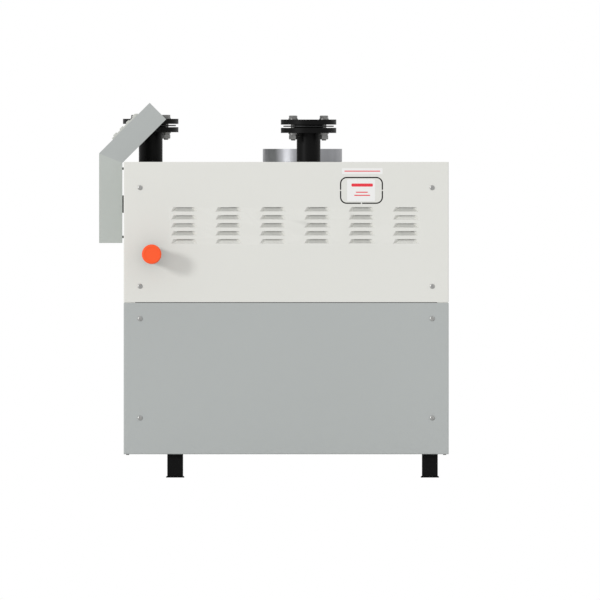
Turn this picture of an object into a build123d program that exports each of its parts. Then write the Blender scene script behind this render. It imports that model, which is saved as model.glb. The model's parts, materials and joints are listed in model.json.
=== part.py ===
from build123d import *
from math import cos, radians, sin, tan
import os

os.makedirs("parts", exist_ok=True)

# Floor-standing gas boiler, in millimetres.
# +Z is up, the console faces -Y and the gas pipe leaves the casing towards +X.
# The origin is on the floor, under the middle of the overall length and width.

# Casing
case_length = 820
case_width = 600
case_base = 59
case_height = 737.5
sheet = 1.5
bend_radius = 2.5
edge_return = 20
joint_gap = 1.0

# Joint between the upper and the lower panels
lower_panel_height = 382
panel_gap = 1.6
split_return = 12
split_return_inset = 28

# Corner posts
post_thickness = 2
post_side_leg = 26.5
post_clearance = 0.3
post_foot_thickness = 3

# Panel screws and the tabs that they hold in
screw_head_radius = 6
screw_head_height = 2.6
screw_shank_radius = 3
screw_shank_length = 12
screw_head_chamfer = 0.9
screw_hole_clearance = 0.3
thread_clearance = 0.1
screw_inset = 41.5
top_screw_drop = 65
split_screw_offset = 40
bottom_screw_rise = 91.5
tab_length = 46
tab_height = 22
tab_thickness = 2
tab_margin = 13

# Screws under the bottom edge
edge_screw_inset = 10
edge_screw_head_radius = 4
edge_screw_head_height = 2
edge_screw_shank_radius = 2
edge_screw_shank_length = 8

# Louvres
louvre_columns = 6
louvre_rows = 5
louvre_length = 67
louvre_height = 12
louvre_depth = 8
louvre_slant = 8
louvre_throat = 1.2
louvre_column_pitch = 112
louvre_row_pitch = 20.2
louvre_first_column = 153
louvre_top_row_drop = 119.7
blade_thickness = 1.2

# Knock-out in the upper panel
knockout_length = 108.5
knockout_height = 68
knockout_radius = 17
knockout_slot = 3.2
knockout_bridge = 3
knockout_from_front = 600
knockout_drop = 71.8

# Legs and base frame
leg_width = 40
leg_wall = 3
leg_inset_side = 48
leg_inset_front = 130
leg_inset_back = 47.5
leg_clearance = 0.5
foot_width = 46
foot_thickness = 4
foot_bevel = 1.5
rail_height = 40
rail_end_gap = 18

# Top rails
top_rail_width = 26
top_rail_thickness = 2

# Flue collar and smoke hood
collar_radius = 100
collar_wall = 1.5
collar_height = 33
collar_from_front = 451
collar_depth = 30
collar_clearance = 0.3
collar_step = 0.8
collar_shoulder = 1
hood_wall = 1.5
hood_side_margin = 4
hood_neck = 40
hood_skirt = 12

# Flanged pipes, one to a flow and one to a return
pipe_radius = 30
pipe_wall = 3.5
pipe_side_offset = 225
flow_from_front = 466.5
return_from_front = 68.2
flow_pipe_rise = 73
return_pipe_rise = 74.8
pipe_hole_clearance = 1.0
flange_radius = 70
flange_thickness = 13
raised_face_radius = 45
raised_face_height = 3
counter_bore_radius = 30.5
gasket_radius = 64
gasket_thickness = 2
bolt_circle_radius = 55
bolt_count = 4
bolt_radius = 6
bolt_hole_clearance = 1.0
bolt_head_corner = 10.7
bolt_head_height = 7.5
bolt_stick_out = 2.8
nut_height = 10.8
washer_radius = 12
washer_thickness = 2.5
spring_washer_radius = 10
spring_washer_thickness = 3
return_elbow_radius = 80
return_inlet_height = 250

# Water jacket, furnace and flue ducts
jacket_half_width = 260
jacket_from_front = 160
jacket_length = 595
jacket_bottom = 190
jacket_top = 640
jacket_wall = 5
water_gap = 70
furnace_top = 470
duct_count = 6
duct_pitch = 74
duct_length = 330
duct_width = 44
duct_wall = 4
baffle_sheet = 2
baffle_folds = 6
baffle_clearance = 0.3
baffle_lip = 3
insulation = 25
insulation_hole_clearance = 2

# Burners
burner_count = 5
burner_pitch = 72
burner_radius = 22
burner_wall = 1.5
burner_height = 150
burner_front = 128
burner_back = 700
venturi_radius = 28
venturi_length = 34
port_width = 3
port_length = 14
port_count = 16
tray_sheet = 2
manifold_radius = 17
manifold_wall = 3
manifold_overhang = 40
bracket_thickness = 3
bracket_margin = 9
bracket_height = 50
nozzle_radius = 8
nozzle_tip_radius = 3
nozzle_length = 22

# Pilot burner
pilot_spaces = 1.5
pilot_reach = 24
pilot_shelf_rise = 8
pilot_shelf_width = 24
pilot_shelf_margin = 10
pilot_flange_drop = 14
pilot_sheet = 2
pilot_head_radius = 6
pilot_head_height = 14
electrode_radius = 2
electrode_side = 8.5
electrode_drop = 10
electrode_rise = 19
pilot_tube_radius = 4
pilot_tube_wall = 1
pilot_tube_offset = 26
pilot_tube_drop = 14
pilot_tube_bend = 12

# Gas inlet, valve and cap
gas_from_front = 70.6
gas_height = 563.6
gas_pipe_radius = 21.2
gas_pipe_wall = 3.2
gas_reach = 80
gas_hole_clearance = 2
gas_grommet_lip = 3
gas_grommet_depth = 4
gas_drop_offset = 100
gas_elbow_radius = 55
valve_width = 92
valve_depth = 64
valve_height = 84
valve_base = 330
valve_fillet = 6
coil_width = 40
coil_height = 34
knob_radius = 19
knob_length = 14
knob_grip_width = 7
knob_grip_height = 8
knob_stem_radius = 4
knob_gap = 0.3
running_clearance = 0.1
cap_radius = 24.8
cap_length = 27
cap_end = 3
cap_rib_count = 24
cap_rib_radius = 1.0
cap_edge = 1.6

# Console
console_width = 290
console_depth = 58.8
console_gap = 3.2
console_base_height = 591.8
console_knee_height = 818.2
console_slope_length = 180.4
console_tilt = 45
console_sheet = 1.5
console_plate_clearance = 0.3
spacer_radius = 5
spacer_side = 110
spacer_upper_height = 779.6
spacer_lower_height = 607.3
console_screw_radius = 2.5
console_screw_head_radius = 5
console_screw_head_height = 2.5
console_screw_end = 3
grommet_radius = 22
grommet_bore = 14
grommet_lip = 3
grommet_height = 690

# Control unit on the console's slope
unit_start = 49
unit_height = 90
unit_width = 144
unit_proud = 4
unit_corner = 6
unit_edge = 1.2
unit_body_margin = 1.5
unit_body_depth = 36
window_width = 78
window_height = 50
window_side = -22
lens_recess = 0.6
lens_clearance = 0.2
button_count = 4
button_radius = 5.8
button_pitch = 22.4
button_first = 13.5
button_side = 48
button_proud = 3
button_travel = 1.5
button_clearance = 0.3
button_dome = 1.6
button_tail = 1.0
button_floor_gap = 0.5

# Terminals in the console
din_rail_length = 220
din_rail_width = 35
din_rail_height = 7.5
din_rail_sheet = 1
din_rail_lip = 5
terminal_height = 640
terminal_count = 12
terminal_pitch = 12
terminal_width = 10
terminal_tall = 44
terminal_deep = 30
terminal_hook = 3
terminal_slot_width = 5
terminal_slot_height = 6
terminal_slot_depth = 8
terminal_slot_drop = 15

# Places that follow from the sizes above
console_reach = console_gap + console_depth
mid_x = -(gas_reach - screw_head_height) / 2
front_y = -(case_length - console_reach) / 2
back_y = front_y + case_length
case_top = case_base + case_height
side_x = mid_x + case_width / 2
inner_side_x = side_x - sheet
split_low = case_base + lower_panel_height
split_high = split_low + panel_gap
middle = Plane.YZ.offset(mid_x)
panel_edge_x = side_x - edge_return - joint_gap
flue_y = front_y + collar_from_front
flow_x = mid_x + pipe_side_offset
flow_y = front_y + flow_from_front
return_x = mid_x - pipe_side_offset
return_y = front_y + return_from_front
gas_y = front_y + gas_from_front
jacket_front = front_y + jacket_from_front
jacket_back = jacket_front + jacket_length
jacket_mid_y = (jacket_front + jacket_back) / 2
screw_heights = (
    case_top - top_screw_drop,
    split_high + split_screw_offset,
    split_low - split_screw_offset,
    case_base + bottom_screw_rise,
)
screw_ys = (front_y + screw_inset, back_y - screw_inset)


def slab(x, y, z, mode=Mode.ADD):
    """A flat-sided block between a low and a high value along each axis."""
    with Locations(((x[0] + x[1]) / 2, (y[0] + y[1]) / 2, (z[0] + z[1]) / 2)):
        Box(x[1] - x[0], y[1] - y[0], z[1] - z[0], mode=mode)


def within(limits, inset):
    """Low and high values drawn in by the same amount."""
    return (limits[0] + inset, limits[1] - inset)


# Legs: square tubes under the base frame, each on a foot plate with bevelled edges
leg_xs = (mid_x - case_width / 2 + leg_inset_side, side_x - leg_inset_side)
leg_ys = (front_y + leg_inset_front, back_y - leg_inset_back)
leg_points = [(x, y) for x in leg_xs for y in leg_ys]
rail_base = case_base + sheet

with BuildPart() as foot_plates:
    with BuildSketch():
        with Locations(*leg_points):
            Rectangle(foot_width, foot_width)
    extrude(amount=foot_thickness)
    chamfer(foot_plates.faces().group_by(Axis.Z)[-1].edges(), foot_bevel)
foot_plates.part.label = "foot_plates"
export_step(foot_plates.part, "parts/foot_plates.step")

with BuildPart() as legs:
    with BuildSketch(Plane.XY.offset(foot_thickness)):
        with Locations(*leg_points):
            Rectangle(leg_width, leg_width)
            Rectangle(leg_width - 2 * leg_wall, leg_width - 2 * leg_wall, mode=Mode.SUBTRACT)
    extrude(amount=rail_base - foot_thickness)
legs.part.label = "legs"
export_step(legs.part, "parts/legs.step")

# Base frame: two long tubes with two cross tubes between them, over the legs
rail_wall_inner = leg_width - 2 * leg_wall
rail_y = (front_y + rail_end_gap, back_y - rail_end_gap)
rail_mid_y = (rail_y[0] + rail_y[1]) / 2

with BuildPart() as long_rails:
    for x in leg_xs:
        slab((x - leg_width / 2, x + leg_width / 2), rail_y, (rail_base, rail_base + rail_height))
        slab(
            (x - rail_wall_inner / 2, x + rail_wall_inner / 2),
            rail_y,
            (rail_base + leg_wall, rail_base + rail_height - leg_wall),
            mode=Mode.SUBTRACT,
        )
long_rails.part.label = "long_rails"
export_step(long_rails.part, "parts/long_rails.step")

cross_x = (leg_xs[0] + leg_width / 2, leg_xs[1] - leg_width / 2)
with BuildPart() as cross_rails:
    for y in leg_ys:
        slab(cross_x, (y - leg_width / 2, y + leg_width / 2), (rail_base, rail_base + rail_height))
        slab(
            cross_x,
            (y - rail_wall_inner / 2, y + rail_wall_inner / 2),
            (rail_base + leg_wall, rail_base + rail_height - leg_wall),
            mode=Mode.SUBTRACT,
        )
cross_rails.part.label = "cross_rails"
export_step(cross_rails.part, "parts/cross_rails.step")

# Bottom tray between the side panels' lower returns, open where the legs pass
tray_x = (2 * mid_x - panel_edge_x, panel_edge_x)
inner_y = (front_y + sheet, back_y - sheet)
with BuildPart() as bottom_tray:
    slab(tray_x, inner_y, (case_base, rail_base))
    leg_hole = leg_width / 2 + leg_clearance
    for x, y in leg_points:
        slab(
            (x - leg_hole, x + leg_hole),
            (y - leg_hole, y + leg_hole),
            (case_base, rail_base),
            mode=Mode.SUBTRACT,
        )
bottom_tray.part.label = "bottom_tray"
export_step(bottom_tray.part, "parts/bottom_tray.step")


# Corner posts: bent angles behind the panels' corners, with a foot for the edge screws
def corner_post(toward_back, post_z):
    """One angle in the +X corner, at the front or at the back."""
    corner_y = inner_y[1] if toward_back else inner_y[0]
    inward = -1 if toward_back else 1
    leg_end_x = panel_edge_x + post_clearance
    side_y = sorted((corner_y, corner_y + inward * post_side_leg))
    face_y = sorted((corner_y, corner_y + inward * post_thickness))
    slab((inner_side_x - post_thickness, inner_side_x), side_y, post_z)
    slab((leg_end_x, inner_side_x), face_y, post_z)
    slab((leg_end_x, inner_side_x), side_y, (post_z[0], post_z[0] + post_foot_thickness))


edge_screw_x = (panel_edge_x + side_x) / 2
edge_screw_ys = (front_y + edge_screw_inset, back_y - edge_screw_inset)
with BuildPart() as corner_posts:
    for toward_back in (False, True):
        corner_post(toward_back, (rail_base, case_top - sheet))
    with BuildSketch(Plane.XY.offset(rail_base)):
        with Locations(*[(edge_screw_x, y) for y in edge_screw_ys]):
            Circle(edge_screw_shank_radius + thread_clearance)
    extrude(amount=post_foot_thickness, mode=Mode.SUBTRACT)
    mirror(about=middle)
corner_posts.part.label = "corner_posts"
export_step(corner_posts.part, "parts/corner_posts.step")

# Tabs with threaded holes, welded behind the posts' side legs
tab_x = (inner_side_x - post_thickness - tab_thickness, inner_side_x - post_thickness)
with BuildPart() as screw_tabs:
    for y in screw_ys:
        tab_end = y + tab_margin if y < rail_mid_y else y - tab_margin
        tab_start = tab_end - tab_length if y < rail_mid_y else tab_end + tab_length
        for z in screw_heights:
            slab(tab_x, sorted((tab_start, tab_end)), (z - tab_height / 2, z + tab_height / 2))
    with BuildSketch(Plane.YZ.offset(tab_x[0])):
        with Locations(*[(y, z) for y in screw_ys for z in screw_heights]):
            Circle(screw_shank_radius + thread_clearance)
    extrude(amount=tab_thickness, mode=Mode.SUBTRACT)
    mirror(about=middle)
screw_tabs.part.label = "screw_tabs"
export_step(screw_tabs.part, "parts/screw_tabs.step")

# Top rails: angles under the edges of the top panel
rail_top = case_top - sheet
rail_outer_x = inner_side_x - post_thickness
with BuildPart() as top_rails:
    long_y = (inner_y[0] + post_thickness, inner_y[1] - post_thickness)
    slab(
        (rail_outer_x - top_rail_width, rail_outer_x),
        long_y,
        (rail_top - top_rail_thickness, rail_top),
    )
    slab(
        (rail_outer_x - top_rail_thickness, rail_outer_x),
        long_y,
        (rail_top - top_rail_width, rail_top),
    )
    mirror(about=middle)
    inner_x = (2 * mid_x - rail_outer_x + top_rail_width, rail_outer_x - top_rail_width)
    for low, high in ((long_y[0], long_y[0] + top_rail_width), (long_y[1] - top_rail_width, long_y[1])):
        slab(inner_x, (low, high), (rail_top - top_rail_thickness, rail_top))
top_rails.part.label = "top_rails"
export_step(top_rails.part, "parts/top_rails.step")


# Side panels: sheets folded round the casing's corners, with a return along the joint
def side_sheet(panel, z, outer_side):
    """The +X side's sheet between two heights, folded over at its top or its bottom."""
    upper = outer_side == "top"
    slab((side_x - edge_return, side_x), (front_y, back_y), z)
    corners = panel.edges().filter_by(Axis.Z).group_by(Axis.X)[-1]
    long_edge = panel.edges().filter_by(Axis.Y).group_by(Axis.X)[-1].sort_by(Axis.Z)[-1 if upper else 0]
    fillet([*corners, long_edge], bend_radius)
    hollow_z = (z[0], z[1] - sheet) if upper else (z[0] + sheet, z[1])
    slab((side_x - edge_return, inner_side_x), inner_y, hollow_z, mode=Mode.SUBTRACT)
    split_z = (z[0], z[0] + sheet) if upper else (z[1] - sheet, z[1])
    split_y = (front_y + split_return_inset, back_y - split_return_inset)
    slab((side_x - split_return, inner_side_x), split_y, split_z)


def screw_holes(heights):
    """Clearance holes for the panel screws at two heights."""
    with BuildSketch(Plane.YZ.offset(inner_side_x)) as holes:
        with Locations(*[(y, z) for y in screw_ys for z in heights]):
            Circle(screw_shank_radius + screw_hole_clearance)
    extrude(holes.sketch, amount=sheet, mode=Mode.SUBTRACT)


def edge_screw_holes():
    """Holes in the lower return for the screws that come from below."""
    with BuildSketch(Plane.XY.offset(case_base)) as holes:
        with Locations(*[(edge_screw_x, y) for y in edge_screw_ys]):
            Circle(edge_screw_shank_radius + screw_hole_clearance)
    extrude(holes.sketch, amount=sheet, mode=Mode.SUBTRACT)


# One louvre, pressed inwards: its blade slopes in from the bottom to an open slot at the top
louvre_middle_y = front_y + louvre_first_column + (louvre_columns - 1) * louvre_column_pitch / 2
louvre_middle_z = case_top - louvre_top_row_drop - (louvre_rows - 1) * louvre_row_pitch / 2


def pressed_wedge(grow):
    """A wedge whose face tapers to a thin strip at its top edge, some way inside the sheet."""
    with BuildPart() as wedge:
        with BuildSketch():
            with Locations((0, -grow / 2)):
                Rectangle(louvre_length + 2 * grow, louvre_height + grow)
        with BuildSketch(Plane.XY.offset(-louvre_depth)):
            strip = louvre_throat + grow
            with Locations((0, (louvre_height - strip) / 2)):
                Rectangle(louvre_length - 2 * louvre_slant + 2 * grow, strip)
        loft(ruled=True)
    return wedge.part


louvre_form = pressed_wedge(blade_thickness)
louvre_pocket = pressed_wedge(0)


def press_louvres():
    """All the louvres of one panel, pressed into the sheet's outer face."""
    grid_plane = Plane(origin=(side_x, louvre_middle_y, louvre_middle_z), x_dir=(0, 1, 0), z_dir=(1, 0, 0))
    with Locations(grid_plane):
        with GridLocations(louvre_column_pitch, louvre_row_pitch, louvre_columns, louvre_rows):
            add(louvre_form)
            add(louvre_pocket, mode=Mode.SUBTRACT)


# Upper side panels: louvred sheets, the +X one with a knock-out and the hole for the gas pipe
knockout_y = front_y + knockout_from_front
knockout_z = case_top - knockout_drop
with BuildPart() as upper_side_near:
    side_sheet(upper_side_near, (split_high, case_top), "top")
    press_louvres()
    screw_holes(screw_heights[:2])
    with BuildSketch(Plane.YZ.offset(inner_side_x)):
        with Locations((knockout_y, knockout_z)):
            RectangleRounded(knockout_length, knockout_height, knockout_radius)
            RectangleRounded(
                knockout_length - 2 * knockout_slot,
                knockout_height - 2 * knockout_slot,
                knockout_radius - knockout_slot,
                mode=Mode.SUBTRACT,
            )
            Rectangle(2 * knockout_length, knockout_bridge, mode=Mode.SUBTRACT)
            with Locations((0, -knockout_height / 2)):
                Rectangle(knockout_bridge, knockout_height, mode=Mode.SUBTRACT)
        with Locations((gas_y, gas_height)):
            Circle(gas_pipe_radius + gas_hole_clearance)
    extrude(amount=sheet, mode=Mode.SUBTRACT)
upper_side_near.part.label = "upper_side_near"
export_step(upper_side_near.part, "parts/upper_side_near.step")

with BuildPart() as upper_side_far:
    side_sheet(upper_side_far, (split_high, case_top), "top")
    press_louvres()
    screw_holes(screw_heights[:2])
    mirror(about=middle, mode=Mode.REPLACE)
upper_side_far.part.label = "upper_side_far"
export_step(upper_side_far.part, "parts/upper_side_far.step")

# Lower side panels: plain sheets
with BuildPart() as lower_side_near:
    side_sheet(lower_side_near, (case_base, split_low), "bottom")
    screw_holes(screw_heights[2:])
    edge_screw_holes()
lower_side_near.part.label = "lower_side_near"
export_step(lower_side_near.part, "parts/lower_side_near.step")

with BuildPart() as lower_side_far:
    mirror(lower_side_near.part, about=middle)
lower_side_far.part.label = "lower_side_far"
export_step(lower_side_far.part, "parts/lower_side_far.step")

# Front and back panels between the side panels' returns, with their own returns behind
panel_x = (2 * mid_x - panel_edge_x, panel_edge_x)
spacer_heights = (spacer_upper_height, spacer_lower_height)
spacer_points = [(mid_x + side * spacer_side, z) for side in (-1, 1) for z in spacer_heights]


return_trim = sheet + top_rail_thickness + post_clearance


def end_sheet(y, z, depth):
    """A sheet across the casing's end, with a return on each side."""
    slab(panel_x, sorted((y, y + sheet * depth)), z)
    for x in ((panel_x[0], panel_x[0] + sheet), (panel_x[1] - sheet, panel_x[1])):
        slab(x, sorted((y, y + split_return * depth)), within(z, return_trim))


with BuildPart() as front_upper:
    end_sheet(front_y, (split_high, case_top), 1)
    with BuildSketch(Plane.XZ.offset(-front_y)):
        with Locations(*spacer_points):
            Circle(console_screw_radius + thread_clearance)
        with Locations((mid_x, grommet_height)):
            Circle(grommet_radius - grommet_lip)
    extrude(amount=-sheet, mode=Mode.SUBTRACT)
front_upper.part.label = "front_upper"
export_step(front_upper.part, "parts/front_upper.step")

with BuildPart() as front_lower:
    end_sheet(front_y, (case_base, split_low), 1)
front_lower.part.label = "front_lower"
export_step(front_lower.part, "parts/front_lower.step")

with BuildPart() as back_upper:
    end_sheet(back_y, (split_high, case_top), -1)
back_upper.part.label = "back_upper"
export_step(back_upper.part, "parts/back_upper.step")

with BuildPart() as back_lower:
    end_sheet(back_y, (case_base, split_low), -1)
back_lower.part.label = "back_lower"
export_step(back_lower.part, "parts/back_lower.step")

# Top panel, on the top rails between the other panels' edges
pipe_points = ((flow_x, flow_y), (return_x, return_y))
with BuildPart() as top_panel:
    slab(panel_x, inner_y, (rail_top, case_top))
    with BuildSketch(Plane.XY.offset(rail_top)):
        with Locations((mid_x, flue_y)):
            Circle(collar_radius + collar_clearance)
        with Locations(*pipe_points):
            Circle(pipe_radius + pipe_hole_clearance)
    extrude(amount=sheet, mode=Mode.SUBTRACT)
top_panel.part.label = "top_panel"
export_step(top_panel.part, "parts/top_panel.step")

# Pan-head screws of the side panels
with BuildPart() as panel_screws:
    with BuildSketch(Plane.YZ.offset(side_x)):
        with Locations(*[(y, z) for y in screw_ys for z in screw_heights]):
            Circle(screw_head_radius)
    extrude(amount=screw_head_height)
    chamfer(panel_screws.faces().group_by(Axis.X)[-1].edges(), screw_head_chamfer)
    with BuildSketch(Plane.YZ.offset(side_x)):
        with Locations(*[(y, z) for y in screw_ys for z in screw_heights]):
            Circle(screw_shank_radius)
    extrude(amount=-screw_shank_length)
    mirror(about=middle)
panel_screws.part.label = "panel_screws"
export_step(panel_screws.part, "parts/panel_screws.step")

# Screws from below, through the lower return into the posts' feet
with BuildPart() as edge_screws:
    with BuildSketch(Plane.XY.offset(case_base)):
        with Locations(*[(edge_screw_x, y) for y in edge_screw_ys]):
            Circle(edge_screw_head_radius)
    extrude(amount=-edge_screw_head_height)
    with BuildSketch(Plane.XY.offset(case_base)):
        with Locations(*[(edge_screw_x, y) for y in edge_screw_ys]):
            Circle(edge_screw_shank_radius)
    extrude(amount=edge_screw_shank_length)
    mirror(about=middle)
edge_screws.part.label = "edge_screws"
export_step(edge_screws.part, "parts/edge_screws.step")

# Flue collar, a little narrower where it passes the top panel, and the smoke hood that it slides over
hood_base = jacket_top
hood_half_x = duct_length / 2 + duct_wall + hood_side_margin
hood_half_y = (duct_count - 1) * duct_pitch / 2 + duct_width / 2 + duct_wall + hood_side_margin
neck_radius = collar_radius - collar_wall - collar_clearance
collar_low = case_top - collar_depth
with BuildPart() as flue_collar:
    with BuildSketch(Plane(origin=(mid_x, flue_y, collar_low))):
        Circle(collar_radius - collar_step)
    extrude(amount=collar_depth + collar_shoulder)
    with BuildSketch(Plane(origin=(mid_x, flue_y, case_top + collar_shoulder))):
        Circle(collar_radius)
    extrude(amount=collar_height - collar_shoulder)
    with BuildSketch(Plane(origin=(mid_x, flue_y, collar_low))):
        Circle(collar_radius - collar_wall)
    extrude(amount=collar_depth + collar_height, mode=Mode.SUBTRACT)
flue_collar.part.label = "flue_collar"
export_step(flue_collar.part, "parts/flue_collar.step")


def hood_form(inset):
    """The hood's outer or inner form: a skirt, a taper from a rectangle to a round, and a neck."""
    width = 2 * (hood_half_x - inset)
    length = 2 * (hood_half_y - inset)
    taper_base = Plane(origin=(mid_x, jacket_mid_y, hood_base + hood_skirt))
    taper_top = Plane(origin=(mid_x, flue_y, collar_low))
    with BuildPart() as form:
        with BuildSketch(Plane(origin=(mid_x, jacket_mid_y, hood_base))):
            Rectangle(width, length)
        extrude(amount=hood_skirt)
        with BuildSketch(taper_base):
            RectangleRounded(width, length, hood_skirt)
        with BuildSketch(taper_top):
            Circle(neck_radius - inset)
        loft()
        with BuildSketch(taper_top):
            Circle(neck_radius - inset)
        extrude(amount=hood_neck)
    return form.part


with BuildPart() as smoke_hood:
    add(hood_form(0))
    add(hood_form(hood_wall), mode=Mode.SUBTRACT)
smoke_hood.part.label = "smoke_hood"
export_step(smoke_hood.part, "parts/smoke_hood.step")

# Flanged pipes: the flow rises from the jacket's top, the return bends into its front
bolt_turn = 180 / bolt_count
flow_flange_base = case_top + flow_pipe_rise
return_flange_base = case_top + return_pipe_rise
flange_joints = ((flow_x, flow_y, flow_flange_base), (return_x, return_y, return_flange_base))
face_gap = 2 * raised_face_height + gasket_thickness
stack_height = 2 * flange_thickness + face_gap
pipe_bore = pipe_radius - pipe_wall


def flange(origin, bore, face_up):
    """A flat flange with four bolt holes and a raised face on its upper or its lower side."""
    x, y, z = origin
    face_z = z + flange_thickness if face_up else z - raised_face_height
    with BuildSketch(Plane(origin=(x, y, z))) as disc:
        Circle(flange_radius)
        with PolarLocations(bolt_circle_radius, bolt_count, start_angle=bolt_turn):
            Circle(bolt_radius + bolt_hole_clearance, mode=Mode.SUBTRACT)
        Circle(bore, mode=Mode.SUBTRACT)
    extrude(disc.sketch, amount=flange_thickness)
    with BuildSketch(Plane(origin=(x, y, face_z))) as face:
        Circle(raised_face_radius)
        Circle(bore, mode=Mode.SUBTRACT)
    extrude(face.sketch, amount=raised_face_height)


with BuildPart() as pipe_flanges:
    for x, y, z in flange_joints:
        flange((x, y, z), pipe_radius, True)
pipe_flanges.part.label = "pipe_flanges"
export_step(pipe_flanges.part, "parts/pipe_flanges.step")

counter_rise = flange_thickness + face_gap
with BuildPart() as flow_counter_flange:
    flange((flow_x, flow_y, flow_flange_base + counter_rise), counter_bore_radius, False)
flow_counter_flange.part.label = "flow_counter_flange"
export_step(flow_counter_flange.part, "parts/flow_counter_flange.step")

with BuildPart() as return_counter_flange:
    flange((return_x, return_y, return_flange_base + counter_rise), counter_bore_radius, False)
return_counter_flange.part.label = "return_counter_flange"
export_step(return_counter_flange.part, "parts/return_counter_flange.step")

with BuildPart() as gaskets:
    for x, y, z in flange_joints:
        gasket_z = z + flange_thickness + raised_face_height
        with BuildSketch(Plane(origin=(x, y, gasket_z))):
            Circle(gasket_radius)
            with PolarLocations(bolt_circle_radius, bolt_count, start_angle=bolt_turn):
                Circle(bolt_radius + bolt_hole_clearance, mode=Mode.SUBTRACT)
            Circle(pipe_radius, mode=Mode.SUBTRACT)
        extrude(amount=gasket_thickness)
gaskets.part.label = "gaskets"
export_step(gaskets.part, "parts/gaskets.step")


nut_drop = washer_thickness + spring_washer_thickness + nut_height
with BuildPart() as flange_bolts:
    for x, y, z in flange_joints:
        head_z = z + stack_height + washer_thickness
        with BuildSketch(Plane(origin=(x, y, head_z))):
            with PolarLocations(bolt_circle_radius, bolt_count, start_angle=bolt_turn):
                RegularPolygon(bolt_head_corner, 6)
        extrude(amount=bolt_head_height)
        with BuildSketch(Plane(origin=(x, y, z - nut_drop - bolt_stick_out))):
            with PolarLocations(bolt_circle_radius, bolt_count, start_angle=bolt_turn):
                Circle(bolt_radius)
        extrude(amount=head_z - z + nut_drop + bolt_stick_out)
flange_bolts.part.label = "flange_bolts"
export_step(flange_bolts.part, "parts/flange_bolts.step")

with BuildPart() as flange_nuts:
    for x, y, z in flange_joints:
        with BuildSketch(Plane(origin=(x, y, z - nut_drop))):
            with PolarLocations(bolt_circle_radius, bolt_count, start_angle=bolt_turn):
                RegularPolygon(bolt_head_corner, 6)
                Circle(bolt_radius + thread_clearance, mode=Mode.SUBTRACT)
        extrude(amount=nut_height)
flange_nuts.part.label = "flange_nuts"
export_step(flange_nuts.part, "parts/flange_nuts.step")


def washer_ring(x, y, z, radius, thickness):
    """Four rings round the bolts of one flange."""
    with BuildSketch(Plane(origin=(x, y, z))) as ring:
        with PolarLocations(bolt_circle_radius, bolt_count, start_angle=bolt_turn):
            Circle(radius)
            Circle(bolt_radius + thread_clearance, mode=Mode.SUBTRACT)
    extrude(ring.sketch, amount=thickness)


with BuildPart() as flange_washers:
    for x, y, z in flange_joints:
        washer_ring(x, y, z + stack_height, washer_radius, washer_thickness)
        washer_ring(x, y, z - washer_thickness, washer_radius, washer_thickness)
flange_washers.part.label = "flange_washers"
export_step(flange_washers.part, "parts/flange_washers.step")

with BuildPart() as spring_washers:
    for x, y, z in flange_joints:
        ring_z = z - washer_thickness - spring_washer_thickness
        washer_ring(x, y, ring_z, spring_washer_radius, spring_washer_thickness)
spring_washers.part.label = "spring_washers"
export_step(spring_washers.part, "parts/spring_washers.step")

with BuildPart() as flow_pipe:
    with BuildSketch(Plane(origin=(flow_x, flow_y, jacket_top))):
        Circle(pipe_radius)
        Circle(pipe_bore, mode=Mode.SUBTRACT)
    extrude(amount=flow_flange_base + flange_thickness + raised_face_height - jacket_top)
flow_pipe.part.label = "flow_pipe"
export_step(flow_pipe.part, "parts/flow_pipe.step")

with BuildPart() as return_pipe:
    with BuildLine() as return_route:
        FilletPolyline(
            (return_x, return_y, return_flange_base + flange_thickness + raised_face_height),
            (return_x, return_y, return_inlet_height),
            (return_x, jacket_front, return_inlet_height),
            radius=return_elbow_radius,
        )
    with BuildSketch(Plane(return_route.line @ 0, z_dir=return_route.line % 0)):
        Circle(pipe_radius)
        Circle(pipe_bore, mode=Mode.SUBTRACT)
    sweep()
return_pipe.part.label = "return_pipe"
export_step(return_pipe.part, "parts/return_pipe.step")

# Water jacket: outer walls, bottom ring and top plate, round the furnace and the flue ducts
furnace_half_x = jacket_half_width - water_gap
furnace_y = (jacket_front + water_gap, jacket_back - water_gap)
jacket_x = (mid_x - jacket_half_width, mid_x + jacket_half_width)
furnace_x = (mid_x - furnace_half_x, mid_x + furnace_half_x)
duct_outer = (duct_length + 2 * duct_wall, duct_width + 2 * duct_wall)


jacket_y = (jacket_front, jacket_back)
with BuildPart() as water_jacket:
    slab(jacket_x, jacket_y, (jacket_bottom, jacket_top))
    slab(within(jacket_x, jacket_wall), within(jacket_y, jacket_wall),
         within((jacket_bottom, jacket_top), jacket_wall), mode=Mode.SUBTRACT)
    slab(furnace_x, furnace_y, (jacket_bottom, jacket_bottom + jacket_wall), mode=Mode.SUBTRACT)
    with BuildSketch(Plane(origin=(mid_x, jacket_mid_y, jacket_top - jacket_wall))):
        with GridLocations(0, duct_pitch, 1, duct_count):
            Rectangle(*duct_outer)
        with Locations((flow_x - mid_x, flow_y - jacket_mid_y)):
            Circle(pipe_bore)
    extrude(amount=jacket_wall, mode=Mode.SUBTRACT)
    with BuildSketch(Plane(origin=(return_x, jacket_front, return_inlet_height), z_dir=(0, 1, 0))):
        Circle(pipe_bore)
    extrude(amount=jacket_wall, mode=Mode.SUBTRACT)
water_jacket.part.label = "water_jacket"
export_step(water_jacket.part, "parts/water_jacket.step")

with BuildPart() as furnace_box:
    slab(furnace_x, furnace_y, (jacket_bottom, furnace_top))
    slab(within(furnace_x, jacket_wall), within(furnace_y, jacket_wall),
         (jacket_bottom, furnace_top - jacket_wall), mode=Mode.SUBTRACT)
    with BuildSketch(Plane(origin=(mid_x, jacket_mid_y, furnace_top - jacket_wall))):
        with GridLocations(0, duct_pitch, 1, duct_count):
            Rectangle(*duct_outer)
    extrude(amount=jacket_wall, mode=Mode.SUBTRACT)
furnace_box.part.label = "furnace_box"
export_step(furnace_box.part, "parts/furnace_box.step")

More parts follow.
